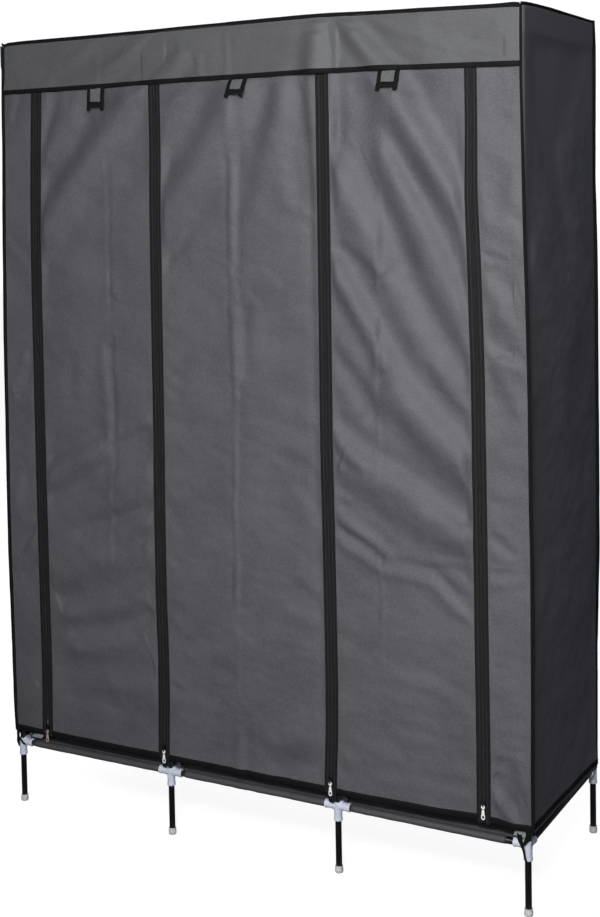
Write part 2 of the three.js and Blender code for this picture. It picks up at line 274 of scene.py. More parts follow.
def add_sheet(b, P, thick=0.9, uv=None, mat=0, inner_mat=None):
    """A closed cloth of points P[row, col], its outside where cross(col, row) points."""
    R, C, _ = P.shape
    dc, dr = np.gradient(P, axis=1), np.gradient(P, axis=0)
    n = np.cross(dc, dr)
    n /= np.maximum(np.linalg.norm(n, axis=2, keepdims=True), 1e-9)
    Q = P - n * thick
    if uv is None:
        du = np.linalg.norm(np.diff(P, axis=1), axis=2)
        dv = np.linalg.norm(np.diff(P, axis=0), axis=2)
        u = np.concatenate((np.zeros((R, 1)), np.cumsum(du, 1)), 1)
        u -= u[:, C // 2:C // 2 + 1]
        w = np.concatenate((np.zeros((1, C)), np.cumsum(dv, 0)), 0)
        uv = np.stack([u, w], -1) * 0.001
    out = grid_quads(R, C)
    inn = grid_quads(R, C, R * C, flip=True)
    k = R * C
    idx = np.arange(k).reshape(R, C)
    ring = np.concatenate((idx[0, :], idx[1:, -1], idx[-1, -2::-1], idx[-2:0:-1, 0]))
    nxt = np.roll(ring, -1)
    rim = np.stack([ring, ring + k, nxt + k, nxt], -1)
    b.add(np.concatenate((P.reshape(-1, 3), Q.reshape(-1, 3))), np.concatenate((out, rim)),
          uv=np.concatenate((uv.reshape(-1, 2), uv.reshape(-1, 2))), mat=mat)
    m = mat if inner_mat is None else inner_mat
    b.q.append(inn + b.n - 2 * k)
    b.qm.append(np.full(len(inn), m))
    return b


def add_sweep(b, path, du, dv, profile, mat=0, closed=False, caps=True, uvs=1.0):
    """A closed profile of (u, v) points carried along a path; du and dv are its axes at each point.
    With u to the right and v up, the profile goes anticlockwise and the path comes towards the eye."""
    path, du, dv, profile = (np.asarray(a, float) for a in (path, du, dv, profile))
    N, M = len(path), len(profile) if profile.ndim == 2 else profile.shape[1]
    if profile.ndim == 2:
        profile = np.broadcast_to(profile, (N, M, 2))
    du, dv = np.broadcast_to(du, (N, 3)), np.broadcast_to(dv, (N, 3))
    V = path[:, None, :] + profile[:, :, :1] * du[:, None, :] + profile[:, :, 1:] * dv[:, None, :]
    ln = np.concatenate(([0], np.cumsum(np.linalg.norm(np.diff(path, axis=0), axis=1)))) * 0.001 * uvs
    pl = np.concatenate(([0], np.cumsum(np.linalg.norm(np.diff(profile[0], axis=0), axis=1)))) * 0.001 * uvs
    uv = np.stack(np.meshgrid(ln, pl, indexing="ij"), -1)
    i, j = np.meshgrid(np.arange(N if closed else N - 1), np.arange(M), indexing="ij")
    i2, j2 = (i + 1) % N, (j + 1) % M
    q = np.stack([i * M + j, i * M + j2, i2 * M + j2, i2 * M + j], -1).reshape(-1, 4)
    tris = []
    verts, uvv = V.reshape(-1, 3), uv.reshape(-1, 2)
    if caps and not closed:
        c0, c1 = len(verts), len(verts) + 1
        verts = np.concatenate((verts, V[0].mean(0)[None], V[-1].mean(0)[None]))
        uvv = np.concatenate((uvv, uv[0].mean(0)[None], uv[-1].mean(0)[None]))
        a = np.arange(M)
        tris = np.concatenate((np.stack([np.full(M, c0), (a + 1) % M, a], -1),
                               np.stack([np.full(M, c1), (N - 1) * M + a, (N - 1) * M + (a + 1) % M], -1)))
    b.add(verts, q, tris, uvv, mat)
    return b


def unit(v):
    v = np.asarray(v, float)
    return v / np.maximum(np.linalg.norm(v, axis=-1, keepdims=True), 1e-9)


def axes(path, up):
    """Axes across a path: du near up, dv = tangent x du."""
    path = np.asarray(path, float)
    t = unit(np.gradient(path, axis=0))
    up = np.broadcast_to(np.asarray(up, float), path.shape)
    du = unit(up - (up * t).sum(1)[:, None] * t)
    return du, np.cross(t, du), t


def round_profile(w0, w1, t, n=4):
    """A flat strip's section from u=w0 to w1, t thick, with rounded edges."""
    r = t / 2
    a = np.linspace(-math.pi / 2, math.pi / 2, n + 1)
    right = np.stack([w1 - r + r * np.cos(a), r * np.sin(a)], -1)
    left = np.stack([w0 + r - r * np.cos(a), -r * np.sin(a)], -1)
    mid_t = [[0.5 * (w0 + w1), r]]
    mid_b = [[0.5 * (w0 + w1), -r]]
    return np.concatenate((right, mid_t, left, mid_b))


def add_strip(b, path, side, w0, w1, t=1.6, mat=0, caps=True):
    """A flat band along a path: it lies between w0 and w1 along the direction side."""
    du, dv, _ = axes(path, side)
    return add_sweep(b, path, du, dv, round_profile(w0, w1, t), mat, caps=caps)


def circle(r, n=16, ph=0.0):
    a = np.linspace(0, 2 * math.pi, n, endpoint=False) + ph
    return np.stack([r * np.cos(a), r * np.sin(a)], -1)


def add_round(b, path, r, n=12, mat=0, up=(0.3, 0.2, 1), caps=True):
    du, dv, _ = axes(path, up)
    return add_sweep(b, path, du, dv, circle(r, n) if np.isscalar(r) else np.array([circle(x, n) for x in r]), mat, caps=caps)


def add_lathe(b, p0, axis, prof, n=40, mat=0, closed=False):
    """A turned shape: prof is (distance along the axis, radius), outside of the solid on its left hand.
    A closed profile makes a ring; an open one starts and ends on the axis."""
    p0, ax = np.asarray(p0, float), unit(axis)
    ref = np.array((0, 0, 1.0)) if abs(ax[2]) < 0.9 else np.array((1.0, 0, 0))
    u = unit(np.cross(ref, ax))
    v = np.cross(ax, u)
    prof = np.asarray(prof, float)
    M = len(prof)
    a = np.linspace(0, 2 * math.pi, n, endpoint=False)
    ring = np.cos(a)[:, None] * u + np.sin(a)[:, None] * v
    V = p0 + prof[None, :, :1] * ax + prof[None, :, 1:] * ring[:, None, :]
    i, j = np.meshgrid(np.arange(n), np.arange(M if closed else M - 1), indexing="ij")
    i2, j2 = (i + 1) % n, (j + 1) % M
    q = np.stack([i * M + j, i2 * M + j, i2 * M + j2, i * M + j2], -1).reshape(-1, 4)
    s = np.concatenate(([0], np.cumsum(np.linalg.norm(np.diff(prof, axis=0), axis=1)))) * 0.001
    uv = np.stack(np.meshgrid(a * float(prof[:, 1].max()) * 0.001, s, indexing="ij"), -1)
    b.add(V.reshape(-1, 3), q, uv=uv.reshape(-1, 2), mat=mat)
    return b


def add_tube(b, p0, p1, r=TUBE_R, wall=0.7, n=40, mat=0):
    """A metal tube, open at both ends with its wall showing."""
    L = float(np.linalg.norm(np.asarray(p1, float) - np.asarray(p0, float)))
    e = 0.35
    prof = [(0, r - e), (e, r), (L - e, r), (L, r - e), (L, r - wall + 0.1), (L - e, r - wall),
            (e, r - wall), (0, r - wall + 0.1)]
    return add_lathe(b, p0, np.subtract(p1, p0), prof, n, mat, closed=True)


def add_boxes(b, C, U, V, W, mat=0, taper=0.6):
    """Many small rounded blocks: centres C and half-axes U, V, W; W's far side is narrower by taper."""
    C, U, V, W = (np.asarray(a, float).reshape(-1, 3) for a in (C, U, V, W))
    n = len(C)
    U, V, W = (np.broadcast_to(a, (n, 3)) for a in (U, V, W))
    s = [(-1, -1, -1), (1, -1, -1), (1, 1, -1), (-1, 1, -1), (-1, -1, 1), (1, -1, 1), (1, 1, 1), (-1, 1, 1)]
    vs = np.stack([C + a * (taper if c > 0 else 1) * U + e * (taper if c > 0 else 1) * V + c * W for a, e, c in s], 1)
    f = np.array([(0, 3, 2, 1), (4, 5, 6, 7), (0, 1, 5, 4), (1, 2, 6, 5), (2, 3, 7, 6), (3, 0, 4, 7)])
    q = (np.arange(n)[:, None, None] * 8 + f[None]).reshape(-1, 4)
    b.add(vs.reshape(-1, 3), q, mat=mat)
    return b


def add_stitches(b, path, normal, pitch=3.6, length=2.5, width=0.55, high=0.35, mat=0):
    """A row of thread stitches on a surface."""
    path = np.asarray(path, float)
    seg = np.linalg.norm(np.diff(path, axis=0), axis=1)
    cum = np.concatenate(([0], np.cumsum(seg)))
    n = int(cum[-1] / pitch)
    if n < 1:
        return b
    s = (np.arange(n) + 0.5) * cum[-1] / n
    c = np.stack([np.interp(s, cum, path[:, k]) for k in range(3)], -1)
    e = np.stack([np.interp(np.minimum(s + 1, cum[-1]), cum, path[:, k]) for k in range(3)], -1)
    f = np.stack([np.interp(np.maximum(s - 1, 0), cum, path[:, k]) for k in range(3)], -1)
    t = unit(e - f)
    nrm = np.broadcast_to(np.asarray(normal, float), (len(path), 3))
    nn = unit(np.stack([np.interp(s, cum, nrm[:, k]) for k in range(3)], -1))
    w = unit(np.cross(t, nn))
    nn = np.cross(w, t)
    return add_boxes(b, c + nn * high * 0.3, t * length / 2, w * width / 2, nn * high, mat, 0.72)


# ---------------------------------------------------------------- materials

def material(name):
    m = bpy.data.materials.new(name)
    m.use_nodes = True
    nt = m.node_tree
    return m, nt, nt.nodes["Principled BSDF"]


def node(nt, kind, inputs=None, **props):
    n = nt.nodes.new(kind)
    for k, v in props.items():
        setattr(n, k, v)
    for k, v in (inputs or {}).items():
        if isinstance(v, bpy.types.NodeSocket):
            nt.links.new(v, n.inputs[k])
        else:
            n.inputs[k].default_value = v
    return n


def math_node(nt, op, a, b=None):
    n = nt.nodes.new("ShaderNodeMath")
    n.operation = op
    for i, v in enumerate((a, b)):
        if v is None:
            continue
        if isinstance(v, bpy.types.NodeSocket):
            nt.links.new(v, n.inputs[i])
        else:
            n.inputs[i].default_value = v
    return n.outputs[0]


def mix_colour(nt, fac, a, b, blend="MIX"):
    n = nt.nodes.new("ShaderNodeMix")
    n.data_type = "RGBA"
    n.blend_type = blend
    for k, v in ((0, fac), (6, a), (7, b)):
        if isinstance(v, bpy.types.NodeSocket):
            nt.links.new(v, n.inputs[k])
        else:
            n.inputs[k].default_value = v if k == 0 or len(v) == 4 else (*v, 1)
    return n.outputs[2]


def ramp(nt, fac, stops):
    n = nt.nodes.new("ShaderNodeValToRGB")
    while len(n.color_ramp.elements) < len(stops):
        n.color_ramp.elements.new(0.5)
    for e, (p, c) in zip(n.color_ramp.elements, stops):
        e.position = p
        e.color = (*c, 1) if len(c) == 3 else c
    nt.links.new(fac, n.inputs[0])
    return n.outputs[0]


def bump(nt, height, strength, distance, normal=None):
    n = nt.nodes.new("ShaderNodeBump")
    n.inputs["Strength"].default_value = strength
    n.inputs["Distance"].default_value = distance
    nt.links.new(height, n.inputs["Height"])
    if normal is not None:
        nt.links.new(normal, n.inputs["Normal"])
    return n.outputs[0]


def scaled(nt, vec, s):
    n = nt.nodes.new("ShaderNodeMapping")
    n.inputs["Scale"].default_value = s
    nt.links.new(vec, n.inputs["Vector"])
    return n.outputs[0]


def cloth_material(name, dark, light, sheen=0.01, lo=0.43, hi=0.57):
    """Spun-bonded cloth: point-bond dots, matted fibres, and soft clouds where the web is thicker."""
    m, nt, p = material(name)
    tc = node(nt, "ShaderNodeTexCoord").outputs
    uv, ob = tc["UV"], tc["Object"]
    cloud = node(nt, "ShaderNodeTexNoise", {"Vector": scaled(nt, ob, (1, 1, 1)), "Scale": 9.0, "Detail": 4.0, "Roughness": 0.62}).outputs["Fac"]
    web = node(nt, "ShaderNodeTexNoise", {"Vector": scaled(nt, uv, (0.55, 1.0, 1)), "Scale": 300.0, "Detail": 5.0, "Roughness": 0.72}).outputs["Fac"]
    fibre = node(nt, "ShaderNodeTexNoise", {"Vector": scaled(nt, uv, (1.0, 3.2, 1)), "Scale": 900.0, "Detail": 3.0, "Roughness": 0.6, "Distortion": 1.2}).outputs["Fac"]
    dots = node(nt, "ShaderNodeTexVoronoi", {"Vector": uv, "Scale": 620.0, "Randomness": 0.12}).outputs["Distance"]
    dot = ramp(nt, dots, [(0.16, (0, 0, 0)), (0.42, (1, 1, 1))])
    fac = math_node(nt, "ADD", math_node(nt, "MULTIPLY", cloud, 0.3), math_node(nt, "MULTIPLY", web, 0.7))
    col = ramp(nt, fac, [(lo, dark), (hi, light)])
    col = mix_colour(nt, 0.22, col, dot, "MULTIPLY")
    col = mix_colour(nt, 0.10, col, fibre, "OVERLAY")
    nt.links.new(col, p.inputs["Base Color"])
    rough = node(nt, "ShaderNodeMapRange", {"Value": web, "From Min": 0.3, "From Max": 0.7, "To Min": 0.56, "To Max": 0.66}).outputs[0]
    nt.links.new(rough, p.inputs["Roughness"])
    p.inputs["Specular IOR Level"].default_value = 0.45
    p.inputs["Sheen Weight"].default_value = sheen
    p.inputs["Sheen Roughness"].default_value = 0.55
    h = bump(nt, dot, 0.32, 0.00018)
    h = bump(nt, fibre, 0.22, 0.00020, h)
    h = bump(nt, web, 0.30, 0.0011, h)
    nt.links.new(h, p.inputs["Normal"])
    return m


def woven_material(name, base, light, along=900.0, across=520.0, rough=0.72):
    """Narrow woven tape: ribs along its length and picks across it."""
    m, nt, p = material(name)
    uv = node(nt, "ShaderNodeTexCoord").outputs["UV"]
    sep = node(nt, "ShaderNodeSeparateXYZ", {"Vector": uv}).outputs
    a = math_node(nt, "SINE", math_node(nt, "MULTIPLY", sep[0], along * 2 * math.pi))
    c = math_node(nt, "SINE", math_node(nt, "ADD", math_node(nt, "MULTIPLY", sep[1], across * 2 * math.pi), math_node(nt, "MULTIPLY", a, 0.9)))
    weave = math_node(nt, "ADD", math_node(nt, "MULTIPLY", math_node(nt, "MULTIPLY", a, c), 0.35), math_node(nt, "MULTIPLY", c, 0.15))
    weave = math_node(nt, "ADD", weave, 0.5)
    fuzz = node(nt, "ShaderNodeTexNoise", {"Vector": uv, "Scale": 260.0, "Detail": 4.0}).outputs["Fac"]
    worn = node(nt, "ShaderNodeTexNoise", {"Vector": uv, "Scale": 22.0, "Detail": 3.0}).outputs["Fac"]
    col = mix_colour(nt, weave, base, light)
    col = mix_colour(nt, 0.35, col, ramp(nt, worn, [(0.3, (0.55, 0.55, 0.55)), (0.75, (1, 1, 1))]), "MULTIPLY")
    col = mix_colour(nt, 0.18, col, fuzz, "OVERLAY")
    nt.links.new(col, p.inputs["Base Color"])
    p.inputs["Roughness"].default_value = rough
    p.inputs["Specular IOR Level"].default_value = 0.10
    p.inputs["Sheen Weight"].default_value = 0.0
    p.inputs["Sheen Roughness"].default_value = 0.5
    h = bump(nt, weave, 0.5, 0.00016)
    h = bump(nt, fuzz, 0.2, 0.0002, h)
    nt.links.new(h, p.inputs["Normal"])
    return m


def plastic_material(name, base, shade, rough=0.42, subsurface=0.12, transmission=0.0):
    m, nt, p = material(name)
    ob = node(nt, "ShaderNodeTexCoord").outputs["Object"]
    flow = node(nt, "ShaderNodeTexNoise", {"Vector": ob, "Scale": 45.0, "Detail": 4.0}).outputs["Fac"]
    grain = node(nt, "ShaderNodeTexNoise", {"Vector": ob, "Scale": 1500.0, "Detail": 3.0}).outputs["Fac"]
    scuff = node(nt, "ShaderNodeTexNoise", {"Vector": scaled(nt, ob, (1, 1, 0.2)), "Scale": 420.0, "Detail": 6.0, "Roughness": 0.75}).outputs["Fac"]
    col = ramp(nt, flow, [(0.3, shade), (0.7, base)])
    marks = ramp(nt, scuff, [(0.62, (1, 1, 1)), (0.72, (0.86, 0.86, 0.87))])
    col = mix_colour(nt, 0.6, col, marks, "MULTIPLY")
    nt.links.new(col, p.inputs["Base Color"])
    r = node(nt, "ShaderNodeMapRange", {"Value": scuff, "From Min": 0.35, "From Max": 0.7, "To Min": rough - 0.06, "To Max": rough + 0.16}).outputs[0]
    nt.links.new(r, p.inputs["Roughness"])
    p.inputs["Subsurface Weight"].default_value = subsurface
    p.inputs["Subsurface Radius"].default_value = (1.0, 1.0, 1.0)
    p.inputs["Subsurface Scale"].default_value = 0.0025
    p.inputs["Transmission Weight"].default_value = transmission
    h = bump(nt, grain, 0.12, 0.00008)
    nt.links.new(h, p.inputs["Normal"])
    return m


def paint_material(name, base, light):
    """Black stove enamel on steel tube, with faint drawing lines and a few rubbed places."""
    m, nt, p = material(name)
    ob = node(nt, "ShaderNodeTexCoord").outputs["Object"]
    peel = node(nt, "ShaderNodeTexNoise", {"Vector": ob, "Scale": 700.0, "Detail": 2.0}).outputs["Fac"]
    rub = node(nt, "ShaderNodeTexNoise", {"Vector": ob, "Scale": 60.0, "Detail": 5.0, "Roughness": 0.7}).outputs["Fac"]
    nt.links.new(ramp(nt, rub, [(0.45, base), (0.8, light)]), p.inputs["Base Color"])
    r = node(nt, "ShaderNodeMapRange", {"Value": rub, "From Min": 0.3, "From Max": 0.75, "To Min": 0.26, "To Max": 0.44}).outputs[0]
    nt.links.new(r, p.inputs["Roughness"])
    p.inputs["Specular IOR Level"].default_value = 0.5
    nt.links.new(bump(nt, peel, 0.12, 0.00006), p.inputs["Normal"])
    return m


def metal_material(name, base, dark, rough=0.26, metal=1.0):
    m, nt, p = material(name)
    ob = node(nt, "ShaderNodeTexCoord").outputs["Object"]
    cast = node(nt, "ShaderNodeTexNoise", {"Vector": ob, "Scale": 900.0, "Detail": 4.0}).outputs["Fac"]
    wear = node(nt, "ShaderNodeTexNoise", {"Vector": ob, "Scale": 160.0, "Detail": 5.0, "Roughness": 0.7}).outputs["Fac"]
    nt.links.new(ramp(nt, wear, [(0.25, dark), (0.6, base)]), p.inputs["Base Color"])
    r = node(nt, "ShaderNodeMapRange", {"Value": cast, "From Min": 0.3, "From Max": 0.7, "To Min": rough, "To Max": rough + 0.16}).outputs[0]
    nt.links.new(r, p.inputs["Roughness"])
    p.inputs["Metallic"].default_value = metal
    nt.links.new(bump(nt, cast, 0.1, 0.00005), p.inputs["Normal"])
    return m


def thread_material(name, base, light):
    m, nt, p = material(name)
    ob = node(nt, "ShaderNodeTexCoord").outputs["Object"]
    ply = node(nt, "ShaderNodeTexNoise", {"Vector": ob, "Scale": 2600.0, "Detail": 2.0}).outputs["Fac"]
    nt.links.new(ramp(nt, ply, [(0.3, base), (0.7, light)]), p.inputs["Base Color"])
    p.inputs["Roughness"].default_value = 0.5
    p.inputs["Specular IOR Level"].default_value = 0.3
    nt.links.new(bump(nt, ply, 0.3, 0.0001), p.inputs["Normal"])
    return m


CLOTH = cloth_material("cloth_grey", (0.0612, 0.0602, 0.0682), (0.0882, 0.0868, 0.0973))
CLOTH_SIDE = cloth_material("cloth_grey_side", (0.066, 0.064, 0.0735), (0.084, 0.0815, 0.0935), lo=0.36, hi=0.64)
CLOTH_TOP = cloth_material("cloth_grey_valance", (0.066, 0.0655, 0.0700), (0.084, 0.0835, 0.0890))
CLOTH_IN = cloth_material("cloth_grey_inside", (0.066, 0.066, 0.069), (0.082, 0.082, 0.086))
# the tabs' cloth: a lighter copy of the grey cloth, painted light for the light its outward-tilted face catches from
# above
TAB_CLOTH_PAINTED_LIGHT = cloth_material("cloth_grey_tab_painted_light", (0.085, 0.086, 0.088), (0.118, 0.119, 0.119))
SHELF = cloth_material("cloth_shelf", (0.047, 0.047, 0.051), (0.061, 0.061, 0.066))
# the shelf cloth's flat top: a lighter copy of the shelf cloth, painted light standing in for light on the strip in the
# hem's shadow
SHELF_TOP_PAINTED_LIGHT = cloth_material("cloth_shelf_top_painted_light", (0.105, 0.104, 0.112), (0.13, 0.129, 0.138))
# the shelf cloth's folded hem edge: a lighter copy of the shelf cloth, a painted highlight for the light the edge
# catches
SHELF_HEM_PAINTED_LIGHT = cloth_material("cloth_shelf_hem_painted_light", (0.095, 0.095, 0.10), (0.12, 0.12, 0.126))
# the loose shelf corners: a much lighter copy of the shelf cloth, painted light for studio light reaching them through
# the gap under the cover
SHELF_CORNER_PAINTED_LIGHT = cloth_material("cloth_shelf_corner_painted_light", (0.22, 0.22, 0.225), (0.29, 0.29, 0.295))
TRIM = woven_material("trim_black", (0.0035, 0.0035, 0.0037), (0.0078, 0.0078, 0.0082))
TAPE_M = woven_material("zip_tape", (0.0060, 0.0060, 0.0064), (0.0125, 0.0125, 0.0132), 700.0, 900.0, 0.66)
TAPE_BAND = woven_material("zip_tape_band", (0.0120, 0.0120, 0.0127), (0.0220, 0.0220, 0.0230), 700.0, 900.0, 0.62)
COIL = plastic_material("zip_coil", (0.020, 0.020, 0.021), (0.013, 0.013, 0.014), 0.38, 0.0)
THREAD = thread_material("thread_black", (0.010, 0.010, 0.011), (0.022, 0.022, 0.024))
TUBE = paint_material("tube_black", (0.0030, 0.0030, 0.0034), (0.0085, 0.0085, 0.0092))
PLASTIC = plastic_material("connector_plastic", (0.585, 0.615, 0.70), (0.545, 0.58, 0.675), 0.36, 0.22)
CAP = plastic_material("foot_cap_plastic", (0.72, 0.725, 0.735), (0.66, 0.665, 0.68), 0.34, 0.35, 0.12)
# the pulls: a near-white base with little metal, a painted reflection standing in for the bright studio mirrored in
# nickel
NICKEL_PAINTED_REFLECTION = metal_material("zip_nickel_painted_reflection", (0.98, 0.97, 0.93), (0.86, 0.85, 0.82), 0.46, 0.35)
SLIDER_BLACK = metal_material("zip_slider_enamel", (0.030, 0.030, 0.032), (0.016, 0.016, 0.017), 0.34)
COPPER = metal_material("zip_worn_copper", (0.72, 0.60, 0.52), (0.42, 0.32, 0.26), 0.34, 0.6)


def place(ob, body, *nodes, slot=None, joint=None):
    """ob rides on a body and stands for nodes; with a joint it gets its own copy of its mesh."""
    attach(ob, body)
    if nodes:
        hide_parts(*nodes)
    if joint:
        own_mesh(ob)
    return ob


# ---------------------------------------------------------------- the cover's edges

# (height, x) of the four zips' centres
ZIP_X = [
    curve([(1650, -519.5), (1620, -521), (1510, -526), (1400, -530), (1290, -532.6), (1180, -533.7), (960, -534.2),
           (740, -534.4), (520, -533.6), (300, -532.5), (215, -534.9), (170, -535.5)]),
    curve([(1650, -204.5), (1510, -205), (1400, -208), (1290, -209), (1180, -209.7), (960, -210.6), (850, -211.2),
           (740, -213.4), (520, -214.2), (410, -211.5), (300, -212.2), (215, -215.2), (170, -216)]),
    curve([(1650, 199.5), (1400, 199.3), (1180, 198.6), (960, 197.4), (850, 197.3), (740, 198.6), (520, 200.2),
           (410, 200.5), (300, 199.4), (215, 195), (170, 194)]),
    curve([(1650, 518.4), (1510, 518.6), (1400, 516.7), (1290, 520.8), (1180, 523.6), (1070, 526.5), (960, 527.4),
           (740, 528.6), (520, 529.1), (300, 530.4), (215, 529.6), (170, 529.5)]),
]
# x of the front face's left and right edges
LEFT_X = curve([(1760, -608), (1748, -609.4), (1735, -610), (1700, -610.4), (1600, -613.6), (1500, -615.5), (1400, -618),
                (1300, -621), (1200, -623), (1100, -625), (1000, -626.2), (900, -626.8), (800, -628), (700, -629),
                (600, -628.6), (500, -627.5), (400, -626.3), (300, -625.2), (210, -624.5), (160, -622.5)], 30)
RIGHT_X = curve([(1750, 617.6), (1700, 617.5), (1600, 617), (1500, 618.6), (1400, 620), (1300, 621.5), (1200, 624),
                 (1100, 626), (1000, 627.5), (800, 628), (700, 629.4), (600, 629.6), (500, 629), (400, 628.3),
                 (300, 627.2), (200, 627.0), (160, 627.0)], 30)
# height of the front face's upper edge, and of the valance binding's middle
TOP_Z = curve([(-620, 1744), (-600, 1746.5), (-500, 1747), (-400, 1747.5), (-250, 1748.5), (-120, 1750.5), (0, 1752),
               (120, 1753.5), (200, 1754), (250, 1752.5), (330, 1750), (450, 1748), (560, 1745.5), (620, 1744)], 50)
VAL_Z = curve([(-620, 1640.2), (-454, 1641), (-324, 1642.2), (-261, 1643.3), (-138, 1644.5), (38, 1644.8),
               (151, 1645.9), (259, 1645), (330, 1645), (414, 1642.4), (562, 1639), (620, 1637.8)], 40)
HEM_Z = curve([(-630, 170), (-300, 169.5), (0, 169), (300, 169.2), (430, 170.5), (520, 175), (560, 172), (630, 170)], 40)
# the back corners: x and y of the seams, right side; the left side is taken as its mirror image
BACK_X = curve([(1757, 621.5), (1674, 623.2), (1589, 622.6), (1504, 621.8), (1419, 621.4), (1334, 622.8), (1248, 623.8),
                (815, 624.2), (640, 624), (555, 622.6), (470, 621.4), (383, 620.8), (209, 620.2), (120, 620)], 40)
BACK_Y = 229.6


def zip_wave(k, z):
    """How far a zip stands off the front plane."""
    return 0.12 * vnoise(z / 60.0, k * 3.1 + 0.5, 22)


# ---------------------------------------------------------------- the cover's folds, as (path, right, left, height, fades)

